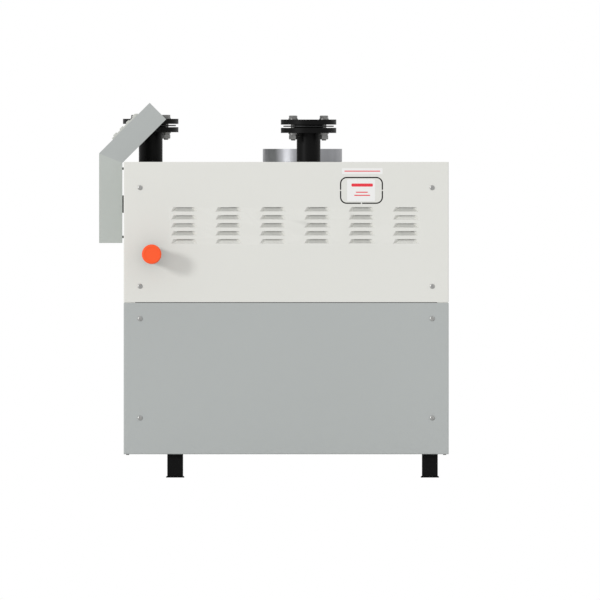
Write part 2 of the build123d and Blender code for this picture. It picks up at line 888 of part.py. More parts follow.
with BuildPart() as flue_ducts:
    with BuildSketch(Plane(origin=(mid_x, jacket_mid_y, furnace_top - jacket_wall))):
        with GridLocations(0, duct_pitch, 1, duct_count):
            Rectangle(*duct_outer)
            Rectangle(duct_length, duct_width, mode=Mode.SUBTRACT)
    extrude(amount=jacket_top - furnace_top + jacket_wall)
flue_ducts.part.label = "flue_ducts"
export_step(flue_ducts.part, "parts/flue_ducts.step")

# Zigzag baffles in the flue ducts, each hung by a lip from its duct's upper edge
baffle_step = (jacket_top - furnace_top) / baffle_folds
baffle_reach = duct_width / 2 - baffle_clearance - baffle_sheet
baffle_points = [
    ((-1) ** fold * baffle_reach, jacket_top - fold * baffle_step) for fold in range(baffle_folds + 1)
]
with BuildPart() as flue_baffles:
    for duct in range(duct_count):
        duct_y = jacket_mid_y + (duct - (duct_count - 1) / 2) * duct_pitch
        with BuildSketch(Plane.YZ.offset(mid_x - duct_length / 2 + baffle_clearance)) as zigzag:
            with BuildLine():
                Polyline(
                    *[(duct_y + y - baffle_sheet, z) for y, z in baffle_points],
                    *[(duct_y + y + baffle_sheet, z) for y, z in reversed(baffle_points)],
                    close=True,
                )
            make_face()
        extrude(zigzag.sketch, amount=duct_length - 2 * baffle_clearance)
        slab(
            (mid_x - duct_length / 2 + baffle_clearance, mid_x + duct_length / 2 - baffle_clearance),
            (duct_y + baffle_reach - baffle_sheet, duct_y + duct_width / 2 + baffle_lip),
            (jacket_top, jacket_top + baffle_sheet),
        )
flue_baffles.part.label = "flue_baffles"
export_step(flue_baffles.part, "parts/flue_baffles.step")

with BuildPart() as insulation_wrap:
    wrap_z = (jacket_bottom, jacket_top)
    slab(within(jacket_x, -insulation), within(jacket_y, -insulation), wrap_z)
    slab(jacket_x, jacket_y, wrap_z, mode=Mode.SUBTRACT)
    with BuildSketch(Plane(origin=(return_x, jacket_front, return_inlet_height), z_dir=(0, -1, 0))):
        Circle(pipe_radius + insulation_hole_clearance)
    extrude(amount=insulation, mode=Mode.SUBTRACT)
insulation_wrap.part.label = "insulation_wrap"
export_step(insulation_wrap.part, "parts/insulation_wrap.step")

# Burner tray on the base frame, with the burner tubes through its front wall
rail_upper = rail_base + rail_height
burner_y = (front_y + burner_front, front_y + burner_back)
pilot_side = pilot_spaces * burner_pitch
tray_wall_x = (leg_xs[0] - leg_width / 2, leg_xs[1] + leg_width / 2)
with BuildPart() as burner_tray:
    slab(tray_wall_x, jacket_y, (rail_upper, jacket_bottom))
    slab(within(tray_wall_x, tray_sheet), within(jacket_y, tray_sheet),
         (rail_upper + tray_sheet, jacket_bottom), mode=Mode.SUBTRACT)
    with BuildSketch(Plane(origin=(mid_x, jacket_front, burner_height), x_dir=(1, 0, 0), z_dir=(0, 1, 0))):
        with GridLocations(burner_pitch, 0, burner_count, 1):
            Circle(burner_radius)
        with Locations((pilot_side, pilot_tube_drop)):
            Circle(pilot_tube_radius + running_clearance)
    extrude(amount=tray_sheet, mode=Mode.SUBTRACT)
burner_tray.part.label = "burner_tray"
export_step(burner_tray.part, "parts/burner_tray.step")

with BuildPart() as burner_tubes:
    tube_start = Plane(origin=(mid_x, burner_y[0], burner_height), x_dir=(1, 0, 0), z_dir=(0, 1, 0))
    with BuildSketch(tube_start):
        with GridLocations(burner_pitch, 0, burner_count, 1):
            Circle(burner_radius)
            Circle(burner_radius - burner_wall, mode=Mode.SUBTRACT)
    extrude(amount=burner_y[1] - burner_y[0])
    port_y = (jacket_front + furnace_y[1]) / 2
    with BuildSketch(Plane(origin=(mid_x, port_y, burner_height))):
        with GridLocations(burner_pitch, 2 * port_length, burner_count, port_count):
            Rectangle(port_length, port_width)
    extrude(amount=burner_radius, mode=Mode.SUBTRACT)
burner_tubes.part.label = "burner_tubes"
export_step(burner_tubes.part, "parts/burner_tubes.step")

# Gas manifold with a nozzle in front of each burner tube, the pipe down to it, and brackets to the tray
manifold_half = (burner_count - 1) * burner_pitch / 2 + manifold_overhang
gas_drop_x = mid_x + gas_drop_offset
with BuildPart() as gas_manifold:
    with BuildSketch(Plane(origin=(mid_x - manifold_half, gas_y, burner_height), z_dir=(1, 0, 0))):
        Circle(manifold_radius)
    extrude(amount=2 * manifold_half)
    with BuildSketch(Plane(origin=(mid_x, gas_y, burner_height), x_dir=(1, 0, 0), z_dir=(0, 1, 0))):
        with GridLocations(burner_pitch, 0, burner_count, 1):
            Circle(nozzle_radius)
    extrude(amount=manifold_radius + nozzle_length)
    chamfer(gas_manifold.faces().group_by(Axis.Y)[-1].edges(), nozzle_radius - nozzle_tip_radius)
    with BuildSketch(Plane(origin=(gas_drop_x, gas_y, burner_height))):
        Circle(gas_pipe_radius - gas_pipe_wall)
    extrude(amount=valve_base - burner_height)
    for side in (-1, 1):
        bracket_x = mid_x + side * (manifold_half - bracket_margin)
        slab(
            (bracket_x - bracket_thickness / 2, bracket_x + bracket_thickness / 2),
            (gas_y - manifold_radius - bracket_margin, jacket_front),
            (burner_height - bracket_height / 2, burner_height + bracket_height / 2),
        )
gas_manifold.part.label = "gas_manifold"
export_step(gas_manifold.part, "parts/gas_manifold.step")

# Pilot burner on a shelf inside the tray, with an electrode, and its tube from the gas valve
pilot_x = mid_x + pilot_side
pilot_y = jacket_front + tray_sheet + pilot_reach
shelf_z = burner_height + pilot_shelf_rise
shelf_x = (pilot_x - pilot_shelf_width / 2, pilot_x + pilot_shelf_width / 2)
with BuildPart() as pilot_burner:
    slab(
        shelf_x,
        (jacket_front + tray_sheet, pilot_y + pilot_shelf_margin),
        (shelf_z, shelf_z + pilot_sheet),
    )
    slab(
        shelf_x,
        (jacket_front + tray_sheet, jacket_front + tray_sheet + pilot_sheet),
        (shelf_z - pilot_flange_drop, shelf_z),
    )
    with BuildSketch(Plane(origin=(pilot_x, pilot_y, shelf_z + pilot_sheet))):
        Circle(pilot_head_radius)
    extrude(amount=pilot_head_height)
    with BuildSketch(Plane(origin=(pilot_x + electrode_side, pilot_y, shelf_z - electrode_drop))):
        Circle(electrode_radius)
    extrude(amount=electrode_drop + pilot_sheet + electrode_rise)
    with BuildLine() as pilot_route:
        FilletPolyline(
            (pilot_x, gas_y + pilot_tube_offset, valve_base),
            (pilot_x, gas_y + pilot_tube_offset, burner_height - pilot_tube_drop),
            (pilot_x, pilot_y, burner_height - pilot_tube_drop),
            (pilot_x, pilot_y, shelf_z),
            radius=pilot_tube_bend,
        )
    with BuildSketch(Plane(pilot_route.line @ 0, z_dir=pilot_route.line % 0)):
        Circle(pilot_tube_radius)
        Circle(pilot_tube_radius - pilot_tube_wall, mode=Mode.SUBTRACT)
    sweep()
pilot_burner.part.label = "pilot_burner"
export_step(pilot_burner.part, "parts/pilot_burner.step")

# Gas valve with its coil, and the pipe from the valve to the side of the casing
valve_top = valve_base + valve_height
valve_front = gas_y - valve_depth / 2
with BuildPart() as gas_valve:
    with Locations((gas_drop_x, gas_y, valve_base + valve_height / 2)):
        Box(valve_width, valve_depth, valve_height)
    fillet(gas_valve.edges().filter_by(Axis.Z), valve_fillet)
    with Locations((gas_drop_x - valve_width / 2, gas_y, valve_base + valve_height / 2)):
        Box(coil_width, coil_width, coil_height, align=(Align.MAX, Align.CENTER, Align.CENTER))
    with BuildSketch(Plane(origin=(gas_drop_x, valve_front, valve_base + valve_height / 2), z_dir=(0, -1, 0))):
        Circle(knob_stem_radius)
    extrude(amount=knob_length)
gas_valve.part.label = "gas_valve"
export_step(gas_valve.part, "parts/gas_valve.step")

knob_plane = Plane(
    origin=(gas_drop_x, valve_front - knob_gap, valve_base + valve_height / 2),
    x_dir=(1, 0, 0),
    z_dir=(0, -1, 0),
)
with BuildPart() as valve_knob:
    with BuildSketch(knob_plane):
        Circle(knob_radius)
    extrude(amount=knob_length)
    with BuildSketch(knob_plane.offset(knob_length)):
        Rectangle(2 * knob_radius, knob_grip_width)
        Circle(knob_radius, mode=Mode.INTERSECT)
    extrude(amount=knob_grip_height)
    with BuildSketch(knob_plane):
        Circle(knob_stem_radius + running_clearance)
    extrude(amount=knob_length + knob_gap, mode=Mode.SUBTRACT)
valve_knob.part.label = "valve_knob"
export_step(valve_knob.part, "parts/valve_knob.step")

gas_end_x = side_x + gas_reach
with BuildPart() as gas_pipe:
    with BuildLine() as gas_route:
        FilletPolyline(
            (gas_end_x - cap_end - knob_gap, gas_y, gas_height),
            (gas_drop_x, gas_y, gas_height),
            (gas_drop_x, gas_y, valve_top),
            radius=gas_elbow_radius,
        )
    with BuildSketch(Plane(gas_route.line @ 0, z_dir=gas_route.line % 0)):
        Circle(gas_pipe_radius)
        Circle(gas_pipe_radius - gas_pipe_wall, mode=Mode.SUBTRACT)
    sweep()
gas_pipe.part.label = "gas_pipe"
export_step(gas_pipe.part, "parts/gas_pipe.step")

# Rubber grommet round the gas pipe in the side panel's hole, with a lip behind the sheet
with BuildPart() as gas_grommet:
    grommet_plane = Plane(origin=(inner_side_x, gas_y, gas_height), z_dir=(1, 0, 0))
    with BuildSketch(grommet_plane):
        Circle(gas_pipe_radius + gas_hole_clearance)
        Circle(gas_pipe_radius, mode=Mode.SUBTRACT)
    extrude(amount=sheet)
    with BuildSketch(grommet_plane):
        Circle(gas_pipe_radius + gas_hole_clearance + gas_grommet_lip)
        Circle(gas_pipe_radius, mode=Mode.SUBTRACT)
    extrude(amount=-gas_grommet_depth)
gas_grommet.part.label = "gas_grommet"
export_step(gas_grommet.part, "parts/gas_grommet.step")

# Push-on cap with grip ribs over the end of the gas pipe
cap_plane = Plane(origin=(gas_end_x - cap_length, gas_y, gas_height), z_dir=(1, 0, 0))
with BuildPart() as gas_cap:
    with BuildSketch(cap_plane):
        Circle(cap_radius - cap_rib_radius)
        with PolarLocations(cap_radius - cap_rib_radius, cap_rib_count):
            Circle(cap_rib_radius)
    extrude(amount=cap_length - cap_edge)
    with BuildSketch(cap_plane.offset(cap_length - cap_edge)):
        Circle(cap_radius - cap_rib_radius)
    extrude(amount=cap_edge)
    chamfer(gas_cap.faces().sort_by(Axis.X)[-1].edges(), cap_edge / 2)
    with BuildSketch(cap_plane):
        Circle(gas_pipe_radius + running_clearance)
    extrude(amount=cap_length - cap_end, mode=Mode.SUBTRACT)
gas_cap.part.label = "gas_cap"
export_step(gas_cap.part, "parts/gas_cap.step")

# Console: an upright box and a tilted box that meet at a mitre, open behind for the back plate
knee = (front_y - console_reach, console_knee_height)
slope = (sin(radians(console_tilt)), cos(radians(console_tilt)))
mitre_drop = console_depth * tan(radians(console_tilt / 2))
apex = (knee[0] + slope[0] * console_slope_length, knee[1] + slope[1] * console_slope_length)
rear_corner = (apex[0] + slope[1] * console_depth, apex[1] - slope[0] * console_depth)
inner_knee = (front_y - console_gap, console_knee_height - mitre_drop)
console_rear_y = front_y - console_gap
console_low = mid_x - console_width / 2
slope_plane = Plane(
    origin=(mid_x, knee[0], knee[1]), x_dir=(1, 0, 0), z_dir=(0, -slope[1], slope[0])
)
unit_middle = unit_start + unit_height / 2

with BuildPart() as console_base:
    with BuildSketch(Plane.YZ.offset(console_low)):
        with BuildLine():
            Polyline(
                (knee[0], console_base_height),
                (console_rear_y, console_base_height),
                inner_knee,
                knee,
                close=True,
            )
        make_face()
    extrude(amount=console_width)
    base_openings = [
        console_base.faces().sort_by(Axis.Y)[-1],
        console_base.faces().sort_by(Axis.Z)[-1],
    ]
    offset(amount=-console_sheet, openings=base_openings)
console_base.part.label = "console_base"
export_step(console_base.part, "parts/console_base.step")

with BuildPart() as console_head:
    with BuildSketch(Plane.YZ.offset(console_low)):
        with BuildLine():
            Polyline(knee, inner_knee, rear_corner, apex, close=True)
        make_face()
    extrude(amount=console_width)
    behind = Axis((0, 0, 0), (0, slope[1], -slope[0]))
    head_openings = [
        console_head.faces().sort_by(behind)[-1],
        console_head.faces().sort_by(Axis.Z)[0],
    ]
    offset(amount=-console_sheet, openings=head_openings)
    with BuildSketch(slope_plane):
        with Locations((0, unit_middle)):
            Rectangle(unit_width - 2 * unit_body_margin, unit_height - 2 * unit_body_margin)
    extrude(amount=-console_sheet, mode=Mode.SUBTRACT)
console_head.part.label = "console_head"
export_step(console_head.part, "parts/console_head.step")

# Back plate, bent to follow the console's open side and set between its walls
plate_rim = console_sheet + console_plate_clearance
plate_low = (console_rear_y, console_base_height + plate_rim)
plate_high = (rear_corner[0] - slope[0] * plate_rim, rear_corner[1] - slope[1] * plate_rim)
plate_bend = console_sheet * tan(radians(console_tilt / 2))
with BuildPart() as console_back:
    with BuildSketch(Plane.YZ.offset(console_low + plate_rim)):
        with BuildLine():
            Polyline(
                plate_low,
                inner_knee,
                plate_high,
                (plate_high[0] - slope[1] * console_sheet, plate_high[1] + slope[0] * console_sheet),
                (inner_knee[0] - console_sheet, inner_knee[1] + plate_bend),
                (plate_low[0] - console_sheet, plate_low[1]),
                close=True,
            )
        make_face()
    extrude(amount=console_width - 2 * plate_rim)
    with BuildSketch(Plane.XZ.offset(-console_rear_y + console_sheet)):
        with Locations(*spacer_points):
            Circle(console_screw_radius + thread_clearance)
        with Locations((mid_x, grommet_height)):
            Circle(grommet_radius - grommet_lip)
    extrude(amount=-console_sheet, mode=Mode.SUBTRACT)
console_back.part.label = "console_back"
export_step(console_back.part, "parts/console_back.step")

with BuildPart() as console_spacers:
    with BuildSketch(Plane.XZ.offset(-front_y)):
        with Locations(*spacer_points):
            Circle(spacer_radius)
            Circle(console_screw_radius + thread_clearance, mode=Mode.SUBTRACT)
    extrude(amount=console_gap)
console_spacers.part.label = "console_spacers"
export_step(console_spacers.part, "parts/console_spacers.step")

screw_seat = Plane.XZ.offset(-console_rear_y + console_sheet)
with BuildPart() as console_screws:
    with BuildSketch(screw_seat):
        with Locations(*spacer_points):
            Circle(console_screw_head_radius)
    extrude(amount=console_screw_head_height)
    with BuildSketch(screw_seat):
        with Locations(*spacer_points):
            Circle(console_screw_radius)
    extrude(amount=-(console_sheet + console_gap + sheet + console_screw_end))
console_screws.part.label = "console_screws"
export_step(console_screws.part, "parts/console_screws.step")

# Terminals clipped on a top-hat rail on the back plate's inner face
rail_seat = console_rear_y - console_sheet
rail_front = rail_seat - din_rail_height
hat_half = din_rail_width / 2 - din_rail_lip
with BuildPart() as terminal_rail:
    rail_x = (mid_x - din_rail_length / 2, mid_x + din_rail_length / 2)
    slab(
        rail_x,
        (rail_seat - din_rail_sheet, rail_seat),
        (terminal_height - hat_half, terminal_height + hat_half),
    )
    for side in (-1, 1):
        side_z = terminal_height + side * (hat_half - din_rail_sheet / 2)
        lip_z = terminal_height + side * (hat_half + din_rail_lip / 2)
        slab(rail_x, (rail_front, rail_seat), (side_z - din_rail_sheet / 2, side_z + din_rail_sheet / 2))
        slab(rail_x, (rail_front, rail_front + din_rail_sheet), (lip_z - din_rail_lip / 2, lip_z + din_rail_lip / 2))
terminal_rail.part.label = "terminal_rail"
export_step(terminal_rail.part, "parts/terminal_rail.step")

with BuildPart() as terminals:
    for index in range(terminal_count):
        block_x = mid_x + (index - (terminal_count - 1) / 2) * terminal_pitch
        block = (block_x - terminal_width / 2, block_x + terminal_width / 2)
        slot = (block_x - terminal_slot_width / 2, block_x + terminal_slot_width / 2)
        slab(
            block,
            (rail_front - terminal_deep, rail_front),
            (terminal_height - terminal_tall / 2, terminal_height + terminal_tall / 2),
        )
        for side in (-1, 1):
            hook_z = terminal_height + side * (terminal_tall + din_rail_width) / 4
            hook_half = (terminal_tall - din_rail_width) / 4
            slot_z = terminal_height + side * terminal_slot_drop
            slab(block, (rail_front, rail_front + terminal_hook), (hook_z - hook_half, hook_z + hook_half))
            slab(
                slot,
                (rail_front - terminal_deep, rail_front - terminal_deep + terminal_slot_depth),
                (slot_z - terminal_slot_height / 2, slot_z + terminal_slot_height / 2),
                mode=Mode.SUBTRACT,
            )
terminals.part.label = "terminals"
export_step(terminals.part, "parts/terminals.step")

# Cable grommet between the console and the casing, with a lip in the gap
with BuildPart() as cable_grommet:
    with BuildSketch(screw_seat):
        with Locations((mid_x, grommet_height)):
            Circle(grommet_radius - grommet_lip)
            Circle(grommet_bore, mode=Mode.SUBTRACT)
    extrude(amount=-(console_sheet + console_gap + sheet))
    with BuildSketch(Plane.XZ.offset(-front_y)):
        with Locations((mid_x, grommet_height)):
            Circle(grommet_radius)
            Circle(grommet_bore, mode=Mode.SUBTRACT)
    extrude(amount=console_gap)
cable_grommet.part.label = "cable_grommet"
export_step(cable_grommet.part, "parts/cable_grommet.step")

# Control unit: a frame on the slope with a window and four round buttons
button_places = [
    (button_side, unit_start + button_first + index * button_pitch) for index in range(button_count)
]
with BuildPart() as unit_frame:
    with BuildSketch(slope_plane):
        with Locations((0, unit_middle)):
            RectangleRounded(unit_width, unit_height, unit_corner)
    extrude(amount=unit_proud)
    fillet(unit_frame.faces().sort_by(Axis(slope_plane.origin, slope_plane.z_dir))[-1].edges(), unit_edge)
    with BuildSketch(slope_plane):
        with Locations((window_side, unit_middle)):
            Rectangle(window_width, window_height)
        with Locations(*button_places):
            Circle(button_radius + button_clearance)
    extrude(amount=unit_proud, mode=Mode.SUBTRACT)
unit_frame.part.label = "unit_frame"
export_step(unit_frame.part, "parts/unit_frame.step")

button_pocket = button_tail + button_travel + button_floor_gap
with BuildPart() as unit_body:
    with BuildSketch(slope_plane):
        with Locations((0, unit_middle)):
            Rectangle(
                unit_width - 2 * unit_body_margin - lens_clearance,
                unit_height - 2 * unit_body_margin - lens_clearance,
            )
    extrude(amount=-unit_body_depth)
    with BuildSketch(slope_plane):
        with Locations(*button_places):
            Circle(button_radius + button_clearance)
    extrude(amount=-button_pocket, mode=Mode.SUBTRACT)
unit_body.part.label = "unit_body"
export_step(unit_body.part, "parts/unit_body.step")

with BuildPart() as display_lens:
    with BuildSketch(slope_plane):
        with Locations((window_side, unit_middle)):
            Rectangle(window_width - 2 * lens_clearance, window_height - 2 * lens_clearance)
    extrude(amount=unit_proud - lens_recess)
display_lens.part.label = "display_lens"
export_step(display_lens.part, "parts/display_lens.step")

for index, place in enumerate(button_places):
    with BuildPart() as button:
        with BuildSketch(slope_plane.offset(-button_tail)):
            with Locations(place):
                Circle(button_radius)
        extrude(amount=button_tail + unit_proud + button_proud)
        fillet(button.faces().sort_by(Axis(slope_plane.origin, slope_plane.z_dir))[-1].edges(), button_dome)
    button.part.label = f"button_{index + 1}"
    export_step(button.part, f"parts/button_{index + 1}.step")
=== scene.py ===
"""Floor-standing gas boiler: finishes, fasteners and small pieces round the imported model, in metres."""
import json
import math

import bmesh
import bpy
from bpy.props import FloatProperty, FloatVectorProperty, IntProperty, PointerProperty
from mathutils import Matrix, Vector


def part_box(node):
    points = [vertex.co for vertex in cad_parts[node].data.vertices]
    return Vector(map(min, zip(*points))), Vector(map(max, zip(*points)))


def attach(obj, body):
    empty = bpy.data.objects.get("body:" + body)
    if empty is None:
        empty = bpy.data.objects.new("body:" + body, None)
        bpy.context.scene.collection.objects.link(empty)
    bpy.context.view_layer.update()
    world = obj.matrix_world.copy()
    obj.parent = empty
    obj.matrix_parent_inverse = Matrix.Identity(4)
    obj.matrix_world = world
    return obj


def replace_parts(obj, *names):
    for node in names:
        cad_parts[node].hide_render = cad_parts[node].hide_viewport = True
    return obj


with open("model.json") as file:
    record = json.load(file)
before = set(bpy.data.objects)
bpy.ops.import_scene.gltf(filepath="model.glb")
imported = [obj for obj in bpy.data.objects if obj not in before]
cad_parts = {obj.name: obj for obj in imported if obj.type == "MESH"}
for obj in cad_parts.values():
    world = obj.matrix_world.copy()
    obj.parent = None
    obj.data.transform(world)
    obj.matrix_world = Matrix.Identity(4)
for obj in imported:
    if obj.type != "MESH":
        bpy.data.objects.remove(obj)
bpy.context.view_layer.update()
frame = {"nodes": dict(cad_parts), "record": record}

bl_info = {
    "name": "Gas boiler dressing",
    "version": (1, 0, 0),
    "blender": (4, 5, 0),
    "location": "3D View > Sidebar > Boiler",
    "description": "Finishes and small pieces of a floor-standing gas boiler",
    "category": "Object",
}

BODY = "boiler"
QUARTER_TURN = math.pi / 2
FULL_TURN = 2 * math.pi

# Bolts of both flange joints: how far each sits from the pipe's axis, sideways and lengthways
BOLT_SPREAD = 0.055 * math.sqrt(0.5)

# How much shorter a louvre is at its top, and how far its ends come in for each metre of depth
LOUVRE_FLARE = 0.0064
LOUVRE_SLOPE = 1.15

# Places read from the frame
side_low, side_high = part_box("upper_side_near")
lower_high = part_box("lower_side_near")[1]
screws_low, screws_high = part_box("panel_screws")
cap_low, cap_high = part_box("gas_cap")
NEAR_X = side_high.x
FAR_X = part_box("upper_side_far")[0].x
FRONT_Y = side_low.y
BACK_Y = side_high.y
CASE_TOP = side_high.z


def colour(name, default, note):
    """A colour that a user may change."""
    return FloatVectorProperty(
        name=name,
        description=note,
        subtype="COLOR",
        size=3,
        min=0,
        max=1,
        default=default,
    )


def length(name, default, note):
    """A length that a user may change."""
    return FloatProperty(name=name, description=note, default=default, unit="LENGTH", precision=4)


class BoilerFinish(bpy.types.PropertyGroup):
    """Colours and textures of the boiler's surfaces"""

    white: colour("Upper panels", (0.735, 0.735, 0.695), "Powder coat of the upper panels")
    grey: colour("Lower panels", (0.425, 0.447, 0.440), "Powder coat of the lower panels")
    console: colour("Console", (0.470, 0.498, 0.474), "Powder coat of the console's upright box")
    unit: colour("Control unit", (0.60, 0.61, 0.575), "Moulded plastic of the control unit")
    black: colour("Pipes and legs", (0.0022, 0.0022, 0.0022), "Black enamel")
    zinc: colour("Zinc", (0.22, 0.22, 0.215), "Zinc plating of the flange bolts")
    screw: colour("Screws", (0.42, 0.42, 0.41), "Zinc plating of the panel screws")
    # Dark grey of the strips behind the panel joint: painted shade, standing in for the shadow in the gap
    gap_shade: colour("Seals", (0.16, 0.16, 0.16), "Dark grey of the strips painted as shade in the panel joint")
    galvanised: colour("Galvanised", (0.34, 0.345, 0.365), "Galvanised sheet")
    orange: colour("Cap", (0.98, 0.105, 0.022), "Plastic of the gas cap")
    red: colour("Label print", (0.80, 0.03, 0.05), "Plain bars on the labels")
    coat_grain: length("Coat grain", 0.0011, "Size of the powder coat's grain")
    coat_depth: FloatProperty(
        name="Coat depth",
        description="Strength of the grain",
        default=0.05,
        min=0,
        max=1,
    )


class BoilerSizes(bpy.types.PropertyGroup):
    """Sizes of the pieces that are made here"""

    screw_radius: length("Screw head", 0.006, "Radius of a panel screw's head")
    screw_height: length("Screw height", 0.0026, "Height of a panel screw's head")
    hex_corner: length("Hexagon", 0.0107, "Radius of a bolt's hexagon at its corners")
    head_height: length("Bolt head", 0.0075, "Height of a bolt's head")
    nut_height: length("Nut", 0.0108, "Height of a nut")
    bolt_radius: length("Bolt", 0.006, "Radius of a bolt's shank")
    thread_pitch: length("Thread", 0.00175, "Pitch of a bolt's thread")
    louvre_length: length("Louvre", 0.0668, "Length of a louvre at its bottom")
    louvre_height: length("Louvre height", 0.0112, "Height of a louvre")
    louvre_depth: length("Louvre depth", 0.008, "Depth that a louvre is pressed in")
    cap_ribs: IntProperty(
        name="Cap ribs",
        description="Grip ribs round the cap",
        default=48,
        min=12,
        max=96,
    )
    label_length: length("Label", 0.0706, "Length of the label on the knock-out")
    label_height: length("Label height", 0.0555, "Height of the label on the knock-out")
    strip_length: length("Strip", 0.1027, "Length of the strip label")
    strip_height: length("Strip height", 0.0149, "Height of the strip label")


def finish():
    return bpy.context.scene.boiler_finish


def sizes():
    return bpy.context.scene.boiler_sizes


# Shader node groups

def new_group(name, inputs, outputs):
    """An empty shader group with named float, colour or vector sockets."""
    group = bpy.data.node_groups.new(name, "ShaderNodeTree")
    for label, kind, default in inputs:
        item = group.interface.new_socket(name=label, in_out="INPUT", socket_type=kind)
        item.default_value = default
    for label, kind in outputs:
        group.interface.new_socket(name=label, in_out="OUTPUT", socket_type=kind)
    return group, group.nodes.new("NodeGroupInput"), group.nodes.new("NodeGroupOutput")


def coat_group():
    """Powder coat: a fine orange-peel height and faint broad changes of tone."""
    group, source, result = new_group(
        "Powder coat",
        (("Colour", "NodeSocketColor", (0.5, 0.5, 0.5, 1)), ("Grain", "NodeSocketFloat", 900.0),
         ("Tone", "NodeSocketFloat", 0.03)),
        (("Colour", "NodeSocketColor"), ("Height", "NodeSocketFloat"), ("Roughness", "NodeSocketFloat")),
    )
    nodes, links = group.nodes, group.links
    place = nodes.new("ShaderNodeTexCoord")
    fine = nodes.new("ShaderNodeTexNoise")
    fine.inputs["Detail"].default_value = 3
    links.new(place.outputs["Object"], fine.inputs["Vector"])
    links.new(source.outputs["Grain"], fine.inputs["Scale"])
    broad = nodes.new("ShaderNodeTexNoise")
    broad.inputs["Scale"].default_value = 3.5
    broad.inputs["Detail"].default_value = 4
    links.new(place.outputs["Object"], broad.inputs["Vector"])
    centred = nodes.new("ShaderNodeMath")
    centred.operation = "SUBTRACT"
    centred.inputs[1].default_value = 0.5
    links.new(broad.outputs["Fac"], centred.inputs[0])
    scaled = nodes.new("ShaderNodeMath")
    scaled.operation = "MULTIPLY_ADD"
    scaled.inputs[2].default_value = 1.0
    links.new(centred.outputs[0], scaled.inputs[0])
    links.new(source.outputs["Tone"], scaled.inputs[1])
    tint = nodes.new("ShaderNodeVectorMath")
    tint.operation = "SCALE"
    links.new(source.outputs["Colour"], tint.inputs[0])
    links.new(scaled.outputs[0], tint.inputs["Scale"])
    links.new(tint.outputs[0], result.inputs["Colour"])
    links.new(fine.outputs["Fac"], result.inputs["Height"])
    rough = nodes.new("ShaderNodeMapRange")
    rough.inputs["To Min"].default_value = 0.36
    rough.inputs["To Max"].default_value = 0.50
    links.new(fine.outputs["Fac"], rough.inputs["Value"])
    links.new(rough.outputs["Result"], result.inputs["Roughness"])
    return group


def streak_group():
    """Rolled or brushed metal: streaks along one direction, with a darker and a lighter tone."""
    group, source, result = new_group(
        "Rolled metal",
        (("Dark", "NodeSocketColor", (0.2, 0.2, 0.2, 1)), ("Light", "NodeSocketColor", (0.6, 0.6, 0.6, 1)),
         ("Stretch", "NodeSocketVector", (60, 60, 2)), ("Spangle", "NodeSocketFloat", 90.0)),
        (("Colour", "NodeSocketColor"), ("Height", "NodeSocketFloat"), ("Roughness", "NodeSocketFloat")),
    )
    nodes, links = group.nodes, group.links
    place = nodes.new("ShaderNodeTexCoord")
    stretched = nodes.new("ShaderNodeVectorMath")
    stretched.operation = "MULTIPLY"
    links.new(place.outputs["Object"], stretched.inputs[0])
    links.new(source.outputs["Stretch"], stretched.inputs[1])
    streaks = nodes.new("ShaderNodeTexNoise")
    streaks.inputs["Scale"].default_value = 1.0
    streaks.inputs["Detail"].default_value = 5
    links.new(stretched.outputs[0], streaks.inputs["Vector"])
    spangle = nodes.new("ShaderNodeTexVoronoi")
    links.new(place.outputs["Object"], spangle.inputs["Vector"])
    links.new(source.outputs["Spangle"], spangle.inputs["Scale"])
    spread = nodes.new("ShaderNodeMapRange")
    spread.inputs["From Min"].default_value = 0.36
    spread.inputs["From Max"].default_value = 0.64
    links.new(streaks.outputs["Fac"], spread.inputs["Value"])
    both = nodes.new("ShaderNodeMath")
    both.operation = "MULTIPLY_ADD"
    both.inputs[1].default_value = 0.12
    links.new(spangle.outputs["Distance"], both.inputs[0])
    links.new(spread.outputs["Result"], both.inputs[2])
    mix = nodes.new("ShaderNodeMix")
    mix.data_type = "RGBA"
    links.new(both.outputs[0], mix.inputs["Factor"])
    links.new(source.outputs["Dark"], mix.inputs["A"])
    links.new(source.outputs["Light"], mix.inputs["B"])
    links.new(mix.outputs["Result"], result.inputs["Colour"])
    links.new(streaks.outputs["Fac"], result.inputs["Height"])
    rough = nodes.new("ShaderNodeMapRange")
    rough.inputs["To Min"].default_value = 0.25
    rough.inputs["To Max"].default_value = 0.45
    links.new(streaks.outputs["Fac"], rough.inputs["Value"])
    links.new(rough.outputs["Result"], result.inputs["Roughness"])
    return group


def shell_material(name, group, values, bump, distance, **shader):
    """A Principled material whose colour, roughness and bump come from one of the groups."""
    material = bpy.data.materials.new(name)
    material.use_nodes = True
    nodes, links = material.node_tree.nodes, material.node_tree.links
    surface = nodes["Principled BSDF"]
    for socket, value in shader.items():
        surface.inputs[socket.replace("_", " ")].default_value = value
    texture = nodes.new("ShaderNodeGroup")
    texture.node_tree = group
    for socket, value in values.items():
        texture.inputs[socket].default_value = value
    bumped = nodes.new("ShaderNodeBump")
    bumped.inputs["Strength"].default_value = bump
    bumped.inputs["Distance"].default_value = distance
    links.new(texture.outputs["Colour"], surface.inputs["Base Color"])
    links.new(texture.outputs["Roughness"], surface.inputs["Roughness"])
    links.new(texture.outputs["Height"], bumped.inputs["Height"])
    links.new(bumped.outputs["Normal"], surface.inputs["Normal"])
    return material


def rgba(value, factor=1.0):
    return (value[0] * factor, value[1] * factor, value[2] * factor, 1.0)


MATERIALS = {}


